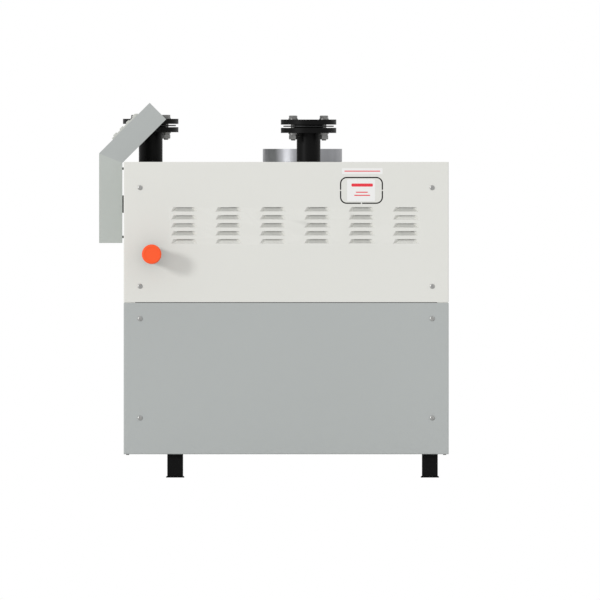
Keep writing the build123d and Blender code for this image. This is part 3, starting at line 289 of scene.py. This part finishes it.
def make_materials():
    """One material for each of the record's slots, and those of the pieces made here."""
    look = finish()
    coat, rolled = coat_group(), streak_group()
    grain = 1 / look.coat_grain
    depth = look.coat_depth

    def coated(name, value, tone=0.03, scale=grain, bump=depth, **shader):
        values = {"Colour": rgba(value), "Grain": scale, "Tone": tone}
        MATERIALS[name] = shell_material(name, coat, values, bump, 0.0003, **shader)

    def metal(name, value, spread, stretch, spangle=90.0, bump=0.05):
        values = {"Dark": rgba(value, 1 - spread), "Light": rgba(value, 1 + spread), "Stretch": stretch,
                  "Spangle": spangle}
        MATERIALS[name] = shell_material(name, rolled, values, bump, 0.0002, Metallic=1.0)

    coated("white_paint", look.white)
    coated("grey_paint", look.grey)
    coated("console_paint", look.console)
    coated("black_paint", look.black, tone=0.4, Specular_IOR_Level=0.12)
    coated("light_plastic", look.unit, scale=1800.0, bump=0.03)
    coated("orange_plastic", look.orange, tone=0.02, scale=1500.0, bump=0.04, Specular_IOR_Level=0.3)
    coated("black_plastic", (0.012, 0.012, 0.012), tone=0.2, scale=1500.0)
    coated("rubber", (0.015, 0.015, 0.015), tone=0.3, scale=600.0, bump=0.15)
    # Painted shade: the strips behind the panel joint darken the gap between its light ends
    coated("gap_shade_grey", look.gap_shade, tone=0.2, scale=700.0, bump=0.3)
    coated("gasket", (0.010, 0.010, 0.011), tone=0.5, scale=500.0, bump=0.2)
    coated("boiler_steel", (0.03, 0.03, 0.032), tone=0.6, scale=300.0, bump=0.2)
    coated("wool", (0.45, 0.40, 0.22), tone=0.5, scale=260.0, bump=0.8)
    coated("label", (0.84, 0.84, 0.83), tone=0.01, scale=2500.0, bump=0.01)
    coated("label_print", look.red, tone=0.02, scale=2500.0, bump=0.01)
    coated("display", (0.012, 0.018, 0.018), tone=0.1, bump=0.0, Coat_Weight=1.0, Coat_Roughness=0.03)
    metal("zinc_steel", look.zinc, 0.18, (240, 240, 240), 400.0)
    metal("bright_zinc", look.screw, 0.1, (240, 240, 240), 400.0)
    metal("galvanised", look.galvanised, 0.09, (40, 40, 1.2), 120.0)
    metal("stainless", (0.5, 0.5, 0.5), 0.1, (300, 4, 300))
    metal("aluminium", (0.5, 0.5, 0.52), 0.08, (200, 200, 200), bump=0.2)


# Mesh helpers

def add_object(name, mesh, body=BODY, material=None):
    """A finished mesh as a piece that rides on a body."""
    piece = bpy.data.objects.new(name, mesh)
    bpy.context.scene.collection.objects.link(piece)
    if material:
        mesh.materials.clear()
        mesh.materials.append(MATERIALS[material])
    if body:
        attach(piece, body)
    return piece


def mesh_from(name, points, faces, smooth_angle=None):
    """A mesh with merged doubles and outward normals, smooth under an angle."""
    shape = bmesh.new()
    made = [shape.verts.new(point) for point in points]
    for face in faces:
        shape.faces.new([made[i] for i in face])
    bmesh.ops.remove_doubles(shape, verts=shape.verts, dist=1e-6)
    bmesh.ops.recalc_face_normals(shape, faces=shape.faces)
    mesh = bpy.data.meshes.new(name)
    shape.to_mesh(mesh)
    shape.free()
    if smooth_angle:
        mesh.shade_smooth()
        mesh.set_sharp_from_angle(angle=smooth_angle)
    return mesh


def lathe(name, profile, steps=48, ripple=None):
    """A closed form turned about Z from (radius, height) points; ripple may change a radius by angle."""
    points, faces = [], []
    for index, (radius, height) in enumerate(profile):
        for step in range(steps):
            angle = FULL_TURN * step / steps
            reach = radius + (ripple(index, angle) if ripple else 0)
            points.append((reach * math.cos(angle), reach * math.sin(angle), height))
    for ring in range(len(profile) - 1):
        for step in range(steps):
            beside = (step + 1) % steps
            row, above = ring * steps, (ring + 1) * steps
            faces.append((row + step, row + beside, above + beside, above + step))
    faces.append(tuple(range(steps)))
    faces.append(tuple(range((len(profile) - 1) * steps, len(profile) * steps)))
    return mesh_from(name, points, faces, math.radians(35))


def ring_mesh(name, profile, steps):
    """A closed ring turned about Z from a closed (radius, height) outline."""
    count = len(profile)
    angles = [FULL_TURN * step / steps for step in range(steps)]
    points = [(r * math.cos(a), r * math.sin(a), z) for a in angles for r, z in profile]
    faces = [(s * count + i, s * count + (i + 1) % count, (s + 1) % steps * count + (i + 1) % count,
              (s + 1) % steps * count + i) for s in range(steps) for i in range(count)]
    return mesh_from(name, points, faces, math.radians(35))


def move(mesh, offset):
    """Shift a mesh's points."""
    for vertex in mesh.vertices:
        vertex.co += Vector(offset)


def prism(name, corners, low, high, turn=0.0):
    """An upright prism from (x, y) corners."""
    count = len(corners)
    cos_turn, sin_turn = math.cos(turn), math.sin(turn)
    turned = [(x * cos_turn - y * sin_turn, x * sin_turn + y * cos_turn) for x, y in corners]
    points = [(x, y, z) for z in (low, high) for x, y in turned]
    faces = [tuple(range(count)), tuple(range(count, 2 * count))]
    faces += [(i, (i + 1) % count, (i + 1) % count + count, i + count) for i in range(count)]
    return mesh_from(name, points, faces)


def cut(base, tool, operation):
    """The mesh of one shape cut, joined or crossed with another."""
    first = bpy.data.objects.new("cut_base", base)
    second = bpy.data.objects.new("cut_tool", tool)
    for item in (first, second):
        bpy.context.scene.collection.objects.link(item)
    modifier = first.modifiers.new("Cut", "BOOLEAN")
    modifier.object = second
    modifier.operation = operation
    modifier.solver = "EXACT"
    view = bpy.context.evaluated_depsgraph_get()
    result = bpy.data.meshes.new_from_object(first.evaluated_get(view))
    for item in (first, second):
        bpy.data.objects.remove(item)
    result.shade_smooth()
    result.set_sharp_from_angle(angle=math.radians(35))
    return result


def regular(count, radius):
    """Corners of a regular polygon, one of them along +Y."""
    turns = [FULL_TURN * (i / count + 0.25) for i in range(count)]
    return [(radius * math.cos(turn), radius * math.sin(turn)) for turn in turns]


# Geometry Nodes tree that sets one shape on every point, turned by chance about its own axis

def scatter_tree():
    tree = bpy.data.node_groups.new("Set on points", "GeometryNodeTree")
    face = tree.interface
    face.new_socket(name="Geometry", in_out="INPUT", socket_type="NodeSocketGeometry")
    face.new_socket(name="Shape", in_out="INPUT", socket_type="NodeSocketObject")
    face.new_socket(name="Facing", in_out="INPUT", socket_type="NodeSocketVector")
    face.new_socket(name="Turn", in_out="INPUT", socket_type="NodeSocketFloat")
    face.new_socket(name="Seed", in_out="INPUT", socket_type="NodeSocketInt")
    face.new_socket(name="Material", in_out="INPUT", socket_type="NodeSocketMaterial")
    face.new_socket(name="Geometry", in_out="OUTPUT", socket_type="NodeSocketGeometry")
    nodes, links = tree.nodes, tree.links
    source, result = nodes.new("NodeGroupInput"), nodes.new("NodeGroupOutput")
    shape = nodes.new("GeometryNodeObjectInfo")
    chance = nodes.new("FunctionNodeRandomValue")
    chance.data_type = "FLOAT"
    spin = nodes.new("ShaderNodeCombineXYZ")
    tip = nodes.new("FunctionNodeRotateEuler")
    tip.space = "LOCAL"
    place = nodes.new("GeometryNodeInstanceOnPoints")
    real = nodes.new("GeometryNodeRealizeInstances")
    paint = nodes.new("GeometryNodeSetMaterial")
    links.new(source.outputs["Shape"], shape.inputs["Object"])
    links.new(source.outputs["Turn"], chance.inputs[3])
    links.new(source.outputs["Seed"], chance.inputs["Seed"])
    links.new(chance.outputs[1], spin.inputs["Z"])
    links.new(source.outputs["Facing"], tip.inputs["Rotation"])
    links.new(spin.outputs[0], tip.inputs["Rotate By"])
    links.new(source.outputs["Geometry"], place.inputs["Points"])
    links.new(shape.outputs["Geometry"], place.inputs["Instance"])
    links.new(tip.outputs[0], place.inputs["Rotation"])
    links.new(place.outputs["Instances"], real.inputs["Geometry"])
    links.new(real.outputs["Geometry"], paint.inputs["Geometry"])
    links.new(source.outputs["Material"], paint.inputs["Material"])
    links.new(paint.outputs["Geometry"], result.inputs["Geometry"])
    return tree


def scatter(name, shape, places, facing, turn, seed, material, node):
    """One piece made of a shape on every place, which stands for a CAD node."""
    tree = bpy.data.node_groups.get("Set on points") or scatter_tree()
    points = bpy.data.meshes.new(name + "_places")
    points.from_pydata(places, [], [])
    carrier = bpy.data.objects.new(name + "_carrier", points)
    sample = bpy.data.objects.new(name + "_shape", shape)
    for item in (carrier, sample):
        bpy.context.scene.collection.objects.link(item)
    modifier = carrier.modifiers.new("Places", "NODES")
    modifier.node_group = tree
    ids = {item.name: item.identifier for item in tree.interface.items_tree if item.in_out == "INPUT"}
    modifier[ids["Shape"]] = sample
    modifier[ids["Facing"]] = facing
    modifier[ids["Turn"]] = turn
    modifier[ids["Seed"]] = seed
    modifier[ids["Material"]] = MATERIALS[material]
    view = bpy.context.evaluated_depsgraph_get()
    mesh = bpy.data.meshes.new_from_object(carrier.evaluated_get(view))
    for item in (carrier, sample):
        bpy.data.objects.remove(item)
    piece = add_object(name, mesh)
    if node:
        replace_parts(piece, node)
    return piece


class BoilerStage(bpy.types.Operator):
    """Floor, light and camera"""

    bl_idname = "boiler.stage"
    bl_label = "Stage"

    def execute(self, context):
        scene = context.scene
        scene.view_settings.view_transform = "Standard"
        floor = mesh_from("floor", [(-4, -4, 0), (4, -4, 0), (4, 4, 0), (-4, 4, 0)], [(0, 1, 2, 3)])
        ground = bpy.data.objects.new("floor", floor)
        scene.collection.objects.link(ground)
        pale = bpy.data.materials.new("pale_floor")
        pale.use_nodes = True
        pale.node_tree.nodes["Principled BSDF"].inputs["Base Color"].default_value = (0.8, 0.8, 0.8, 1)
        floor.materials.append(pale)

        world = bpy.data.worlds.new("Studio")
        scene.world = world
        world.use_nodes = True
        nodes, links = world.node_tree.nodes, world.node_tree.links
        soft = nodes["Background"]
        soft.inputs["Color"].default_value = (1, 1, 1, 1)
        soft.inputs["Strength"].default_value = 0.815
        # The camera sees plain white, brighter than the light that falls on the boiler
        bright = nodes.new("ShaderNodeBackground")
        bright.inputs["Strength"].default_value = 1.0
        bright.inputs["Color"].default_value = (1, 1, 1, 1)
        ray = nodes.new("ShaderNodeLightPath")
        mix = nodes.new("ShaderNodeMixShader")
        links.new(ray.outputs["Is Camera Ray"], mix.inputs["Fac"])
        links.new(soft.outputs[0], mix.inputs[1])
        links.new(bright.outputs[0], mix.inputs[2])
        links.new(mix.outputs[0], nodes["World Output"].inputs["Surface"])

        sun = bpy.data.lights.new("Key", "SUN")
        sun.energy = 1.06
        sun.angle = math.radians(11)
        key = bpy.data.objects.new("Key", sun)
        travel = Vector((-1.0, 1.05, -0.375))
        key.rotation_euler = travel.to_track_quat("-Z", "Y").to_euler()
        scene.collection.objects.link(key)

        lens = bpy.data.cameras.new("Camera")
        lens.type = "ORTHO"
        pixel, picture_width = 0.002523, 600
        lens.ortho_scale = picture_width * pixel
        eye = bpy.data.objects.new("Camera", lens)
        eye.location = (4.0, FRONT_Y + 0.4449, 0.4481)
        eye.rotation_euler = (QUARTER_TURN, 0, QUARTER_TURN)
        scene.collection.objects.link(eye)
        scene.camera = eye
        return {"FINISHED"}


class BoilerPaint(bpy.types.Operator):
    """Materials on the pieces that keep their own shape"""

    bl_idname = "boiler.paint"
    bl_label = "Paint"

    def execute(self, context):
        make_materials()
        own = {"console_head": "grey_paint", "cable_grommet": "label"}
        for part in frame["record"]["subparts"]:
            name = part["node"]
            mesh = frame["nodes"][name].data
            mesh.materials.clear()
            mesh.materials.append(MATERIALS[own.get(name, part["material_slot"])])
        return {"FINISHED"}


def solid(name, quads):
    """One six-sided solid for each pair of four-cornered faces."""
    points, faces = [], []
    for first, second in quads:
        base = len(points)
        points += [*first, *second]
        faces += [(base, base + 1, base + 2, base + 3), (base + 4, base + 5, base + 6, base + 7)]
        faces += [(base + i, base + (i + 1) % 4, base + (i + 1) % 4 + 4, base + i + 4) for i in range(4)]
    return mesh_from(name, points, faces)


def slab(name, near, far, span):
    """An upright slab between two planes, over a span of low y, high y, low z and high z."""
    low_y, high_y, low_z, high_z = span
    face = ((low_y, low_z), (high_y, low_z), (high_y, high_z), (low_y, high_z))
    return solid(name, [([(near, y, z) for y, z in face], [(far, y, z) for y, z in face])])


def louvre_section(place, way, low_edge, high_edge, more):
    """Four corners of a louvre at its lower and upper edge, each a height and a depth; its ends stay flat."""
    x, y, z = place
    height = sizes().louvre_height
    corners = []
    for (up, deep), signs in ((low_edge, (-1, 1)), (high_edge, (1, -1))):
        narrowing = LOUVRE_FLARE * (up + height / 2) / height + LOUVRE_SLOPE * deep
        reach = sizes().louvre_length / 2 - narrowing + more
        corners += [(x + way * deep, y + sign * reach, z + up) for sign in signs]
    return corners


class BoilerLouvres(bpy.types.Operator):
    """Upper side panels with trapezoid louvres pressed inwards and open at the top"""

    bl_idname = "boiler.louvres"
    bl_label = "Louvres"

    def execute(self, context):
        size = sizes()
        sheet, wall, grow, lip = 0.0015, 0.0009, 0.0014, 0.0016
        proud, sunk, slack = 0.0004, 0.0005, 0.0002
        top, deep = size.louvre_height / 2, size.louvre_depth
        shallow = deep * 0.65
        first_column, column_pitch, columns = 0.153, 0.112, 6
        first_row, row_pitch, rows = 0.1197, 0.0202, 5
        side_margin, end_margin = 0.040, 0.0095
        ys = [FRONT_Y + first_column + column_pitch * i for i in range(columns)]
        zs = [CASE_TOP - first_row - row_pitch * j for j in range(rows)]
        span = (ys[0] - side_margin, ys[-1] + side_margin, zs[-1] - end_margin, zs[0] + end_margin)
        for name, x, way in (("upper_side_near", NEAR_X, -1), ("upper_side_far", FAR_X, 1)):
            forms, pockets = [], []
            for place in ((x, y, z) for y in ys for z in zs):
                mouth = louvre_section(place, way, (-top - slack, -proud), (top, -proud), 0)
                floor = louvre_section(place, way, (lip - top, shallow), (top, deep), 0)
                pockets.append((mouth, floor))
                low_back, high_back = (lip - top - wall, shallow + wall), (top - slack, deep + wall)
                root = louvre_section(place, way, (-top - wall, sunk), (top - slack, sunk), grow)
                forms.append((root, louvre_section(place, way, low_back, high_back, grow)))
            window = slab("window", x - way * 0.001, x + way * 0.02, span)
            panel = cut(frame["nodes"][name].data.copy(), window, "DIFFERENCE")
            patch = cut(slab("patch", x, x + way * sheet, span), solid("forms", forms), "UNION")
            patch = cut(patch, solid("pockets", pockets), "DIFFERENCE")
            shape = bmesh.new()
            shape.from_mesh(panel)
            shape.from_mesh(patch)
            whole = bpy.data.meshes.new(name)
            shape.to_mesh(whole)
            shape.free()
            whole.shade_smooth()
            whole.set_sharp_from_angle(angle=math.radians(20))
            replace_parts(add_object("louvred_" + name, whole, BODY, "white_paint"), name)
        return {"FINISHED"}


class BoilerScrews(bpy.types.Operator):
    """Pan-head screws with a cross recess on both sides"""

    bl_idname = "boiler.screws"
    bl_label = "Panel screws"

    def execute(self, context):
        radius, height = sizes().screw_radius, sizes().screw_height
        dome = [(radius * math.sin(a), height * (0.45 + 0.55 * math.cos(a))) for a in
                (math.radians(90 - 15 * i) for i in range(6))]
        head = lathe("screw_head", [(radius * 0.96, 0), (radius, height * 0.2), *dome], 40)
        arm, half, recess_floor = radius * 0.60, radius * 0.17, height * 0.35
        shape = head
        for wide, tall in ((arm, half), (half, arm)):
            corners = [(-wide, -tall), (wide, -tall), (wide, tall), (-wide, tall)]
            shape = cut(shape, prism("recess", corners, recess_floor, height * 2), "DIFFERENCE")
        above_joint, below_joint = 0.0416, 0.040
        ys = (screws_low.y + radius, screws_high.y - radius)
        heights = (screws_high.z - radius, lower_high.z + above_joint, lower_high.z - below_joint,
                   screws_low.z + radius)
        near = [(NEAR_X, y, z) for y in ys for z in heights]
        far = [(FAR_X, y, z) for y in ys for z in heights]
        back = shape.copy()
        scatter("panel_screw_heads", shape, near, (0, QUARTER_TURN, 0), 0.9, 3, "bright_zinc", "panel_screws")
        scatter("panel_screw_heads_far", back, far, (0, -QUARTER_TURN, 0), 0.9, 5, "bright_zinc", None)
        return {"FINISHED"}


class BoilerBolts(bpy.types.Operator):
    """Hexagon bolts and nuts of the two flange joints"""

    bl_idname = "boiler.bolts"
    bl_label = "Flange bolts"

    def execute(self, context):
        size = sizes()
        corner, shank = size.hex_corner, size.bolt_radius
        washer, spring_washer, stack = 0.0025, 0.003, 0.034
        heads, nuts = [], []
        for name in ("flow", "return"):
            low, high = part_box(f"{name}_counter_flange")
            middle = (low + high) / 2
            for side in (-1, 1):
                for way in (-1, 1):
                    x, y = middle.x + side * BOLT_SPREAD, middle.y + way * BOLT_SPREAD
                    heads.append((x, y, high.z + washer))
                    nuts.append((x, y, high.z - stack - washer - spring_washer - size.nut_height))
        flat, wide = corner * 0.866 * 0.97, corner * 1.05
        head_hex = prism("hexagon", regular(6, corner), 0, size.head_height)
        head_cone = lathe("cone", [(wide, -0.001), (wide, size.head_height * 0.80),
                                   (flat, size.head_height * 1.001)], 48)
        head = cut(head_hex, head_cone, "INTERSECT")
        scatter("bolt_heads", head, heads, (0, 0, 0), 0.3, 11, "zinc_steel", None)
        nut_hex = prism("hexagon", regular(6, corner), 0, size.nut_height)
        nut_cone = lathe("cone", [(flat, -0.00001), (wide, size.nut_height * 0.14),
                                  (wide, size.nut_height * 0.86), (flat, size.nut_height * 1.001)], 48)
        nut = cut(nut_hex, nut_cone, "INTERSECT")
        scatter("nuts", nut, nuts, (0, 0, 0), 0.3, 17, "zinc_steel", "flange_nuts")
        pitch, turns = size.thread_pitch, 9
        whole_length, stick_out, chamfer = 0.0625, 0.0028, 0.0008
        profile = [(shank * 0.80, -stick_out), (shank * 0.97, -stick_out + chamfer)]
        for turn in range(turns):
            base = -stick_out + chamfer + turn * pitch
            profile += [(shank, base + 0.1 * pitch), (shank * 0.86, base + 0.55 * pitch)]
        profile.append((shank, -stick_out + whole_length))
        shaft = lathe("shaft", profile, 20)
        scatter("bolt_shanks", shaft, nuts, (0, 0, 0), 0.0, 1, "zinc_steel", "flange_bolts")
        return {"FINISHED"}


class BoilerGaskets(bpy.types.Operator):
    """Gaskets that swell outside the raised faces, round the bolts"""

    bl_idname = "boiler.gaskets"
    bl_label = "Gaskets"

    def execute(self, context):
        swollen, squeezed = 0.0016, 0.001
        bore, face_edge, swell, shoulder, round_edge, rim = 0.0303, 0.0455, 0.0475, 0.0628, 0.0637, 0.064
        profile = [(bore, -squeezed), (face_edge, -squeezed), (swell, -swollen), (shoulder, -swollen),
                   (round_edge, -swollen * 0.6), (rim, 0), (round_edge, swollen * 0.6), (shoulder, swollen),
                   (swell, swollen), (face_edge, squeezed), (bore, squeezed)]
        bolt_hole = 0.0068
        for name in ("flow", "return"):
            low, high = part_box(f"{name}_counter_flange")
            middle = (low + high) / 2
            ring = ring_mesh("gasket", profile, 96)
            for side in (-1, 1):
                for way in (-1, 1):
                    hole = lathe("hole", [(bolt_hole, -0.01), (bolt_hole, 0.01)], 24)
                    move(hole, (side * BOLT_SPREAD, way * BOLT_SPREAD, 0))
                    ring = cut(ring, hole, "DIFFERENCE")
            move(ring, (middle.x, middle.y, low.z - squeezed))
            piece = add_object(f"{name}_gasket", ring, BODY, "gasket")
            if name == "flow":
                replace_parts(piece, "gaskets")
        return {"FINISHED"}


class BoilerSpacers(bpy.types.Operator):
    """Slim spacers between the console and the casing"""

    bl_idname = "boiler.spacers"
    bl_label = "Spacers"

    def execute(self, context):
        low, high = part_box("console_spacers")
        radius = 0.005
        profile = [(0.0027, 0), (0.0029, 0), (0.0031, 0.0003), (0.0031, 0.0029), (0.0029, 0.0032),
                   (0.0027, 0.0032)]
        sleeve = ring_mesh("sleeve", profile, 32)
        heights = (low.z + radius, high.z - radius)
        places = [(x, high.y, z) for x in (low.x + radius, high.x - radius) for z in heights]
        facing = (QUARTER_TURN, 0, 0)
        scatter("spacer_sleeves", sleeve, places, facing, 0.0, 1, "zinc_steel", "console_spacers")
        return {"FINISHED"}


class BoilerGapShade(bpy.types.Operator):
    """Dark strips behind the joint between the upper and the lower side panels: painted shade in the gap"""

    bl_idname = "boiler.seals"
    bl_label = "Gap shade strips"

    def execute(self, context):
        middle = (lower_high.z + side_low.z) / 2
        flange, from_end = 0.0145, 0.0285
        outline = ((0, -0.006), (0.004, -0.006), (0.005, -0.004), (0.005, 0.004), (0.004, 0.006), (0, 0.006))
        # Each strip is painted shade, set where the joint's gap is dark
        for name, x, way in (("seal_near", NEAR_X, -1), ("seal_far", FAR_X, 1)):
            corners = [(x + way * (flange + inward), middle + up) for inward, up in outline]
            strip = prism(name, corners, FRONT_Y + from_end, BACK_Y - from_end)
            for vertex in strip.vertices:
                across, up, along = vertex.co
                vertex.co = (across, along, up)
            strip.flip_normals()
            add_object(name, strip, BODY, "gap_shade_grey")
        return {"FINISHED"}


class BoilerCap(bpy.types.Operator):
    """Ribbed push-on cap over the end of the gas pipe"""

    bl_idname = "boiler.cap"
    bl_label = "Gas cap"

    def execute(self, context):
        low, high = cap_low, cap_high
        radius = (high.z - low.z) / 2
        depth = high.x - low.x
        ribs = sizes().cap_ribs
        bore, floor = 0.0213, depth - 0.003
        rib_depth, round_edge = 0.0007, 0.0034
        rib_root = radius - rib_depth
        outer = [(radius - 0.0012, 0), (rib_root, 0.001)]
        ribbed = {len(outer), len(outer) + 1}
        outer += [(rib_root, 0.0035), (rib_root, depth - round_edge - 0.001)]
        turn_radius, turn_height = radius - round_edge, depth - round_edge
        outer += [(turn_radius + round_edge * math.cos(a), turn_height + round_edge * math.sin(a))
                  for a in (math.radians(18 * i) for i in range(6))]
        dish = depth - 0.0006
        outer += [(radius * 0.72, depth), (radius * 0.70, dish), (radius * 0.66, dish)]

        def ripple(index, angle):
            return rib_depth * math.cos(ribs * angle) if index in ribbed else 0

        steps = ribs * 6
        shell = lathe("cap_outer", outer, steps, ripple)
        hollow = lathe("cap_inner", [(bore, -0.001), (bore, floor)], 96)
        mesh = cut(shell, hollow, "DIFFERENCE")
        middle_y, middle_z = (low.y + high.y) / 2, (low.z + high.z) / 2
        for vertex in mesh.vertices:
            x, y, z = vertex.co
            vertex.co = (low.x + z, middle_y + x, middle_z + y)
        piece = add_object("gas_cap_shell", mesh, "cap", "orange_plastic")
        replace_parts(piece, "gas_cap")
        return {"FINISHED"}


def plate(name, centre, length_y, height_z, thick, radius, material):
    """A thin plate with round corners on the near side's face."""
    corners = []
    for quarter in range(4):
        sign_y = 1 if quarter in (0, 3) else -1
        sign_z = 1 if quarter in (0, 1) else -1
        for step in range(7):
            angle = math.radians(90 * quarter + 15 * step)
            corners.append((sign_y * (length_y / 2 - radius) + radius * math.cos(angle),
                            sign_z * (height_z / 2 - radius) + radius * math.sin(angle)))
    mesh = prism(name, corners, 0, thick)
    for vertex in mesh.vertices:
        y, z, x = vertex.co
        vertex.co = (NEAR_X + x + centre[2], centre[0] + y, centre[1] + z)
    return add_object(name, mesh, BODY, material)


class BoilerLabels(bpy.types.Operator):
    """Plain labels on the upper side panel"""

    bl_idname = "boiler.labels"
    bl_label = "Labels"

    def execute(self, context):
        size = sizes()
        film, corner, strip_corner = 0.00015, 0.003, 0.0015
        middle_y, middle_z = FRONT_Y + 0.599, CASE_TOP - 0.0717
        strip_y, strip_z = FRONT_Y + 0.6021, CASE_TOP - 0.0233
        plate("label", (middle_y, middle_z, 0), size.label_length, size.label_height, film, corner, "label")
        plate("strip_label", (strip_y, strip_z, 0), size.strip_length, size.strip_height, film, strip_corner,
              "label")
        bars = (
            (middle_y + 0.0027, middle_z + 0.0133, 0.054, 0.0078),
            (middle_y + 0.002, middle_z - 0.0048, 0.030, 0.0026),
            (middle_y + 0.0027, middle_z - 0.0126, 0.040, 0.0026),
            (strip_y, strip_z, 0.090, 0.0024),
        )
        for index, (y, z, wide, tall) in enumerate(bars):
            plate(f"label_bar_{index + 1}", (y, z, film), wide, tall, film / 2, tall * 0.3, "label_print")
        return {"FINISHED"}


class BoilerPanel(bpy.types.Panel):
    """Lists the boiler's pieces in the sidebar"""

    bl_idname = "VIEW3D_PT_boiler"
    bl_label = "Boiler"
    bl_space_type = "VIEW_3D"
    bl_region_type = "UI"
    bl_category = "Boiler"

    def draw(self, context):
        for step in STEPS:
            self.layout.operator(step.bl_idname)


STEPS = (BoilerStage, BoilerPaint, BoilerLouvres, BoilerScrews, BoilerBolts, BoilerGaskets, BoilerSpacers,
         BoilerGapShade, BoilerCap, BoilerLabels)
CLASSES = (BoilerFinish, BoilerSizes, *STEPS, BoilerPanel)


def register():
    for item in CLASSES:
        bpy.utils.register_class(item)
    bpy.types.Scene.boiler_finish = PointerProperty(type=BoilerFinish)
    bpy.types.Scene.boiler_sizes = PointerProperty(type=BoilerSizes)


def unregister():
    del bpy.types.Scene.boiler_sizes
    del bpy.types.Scene.boiler_finish
    for item in reversed(CLASSES):
        bpy.utils.unregister_class(item)


def main():
    register()
    for step in STEPS:
        group, name = step.bl_idname.split(".")
        getattr(getattr(bpy.ops, group), name)()


if __name__ == "__main__":
    main()
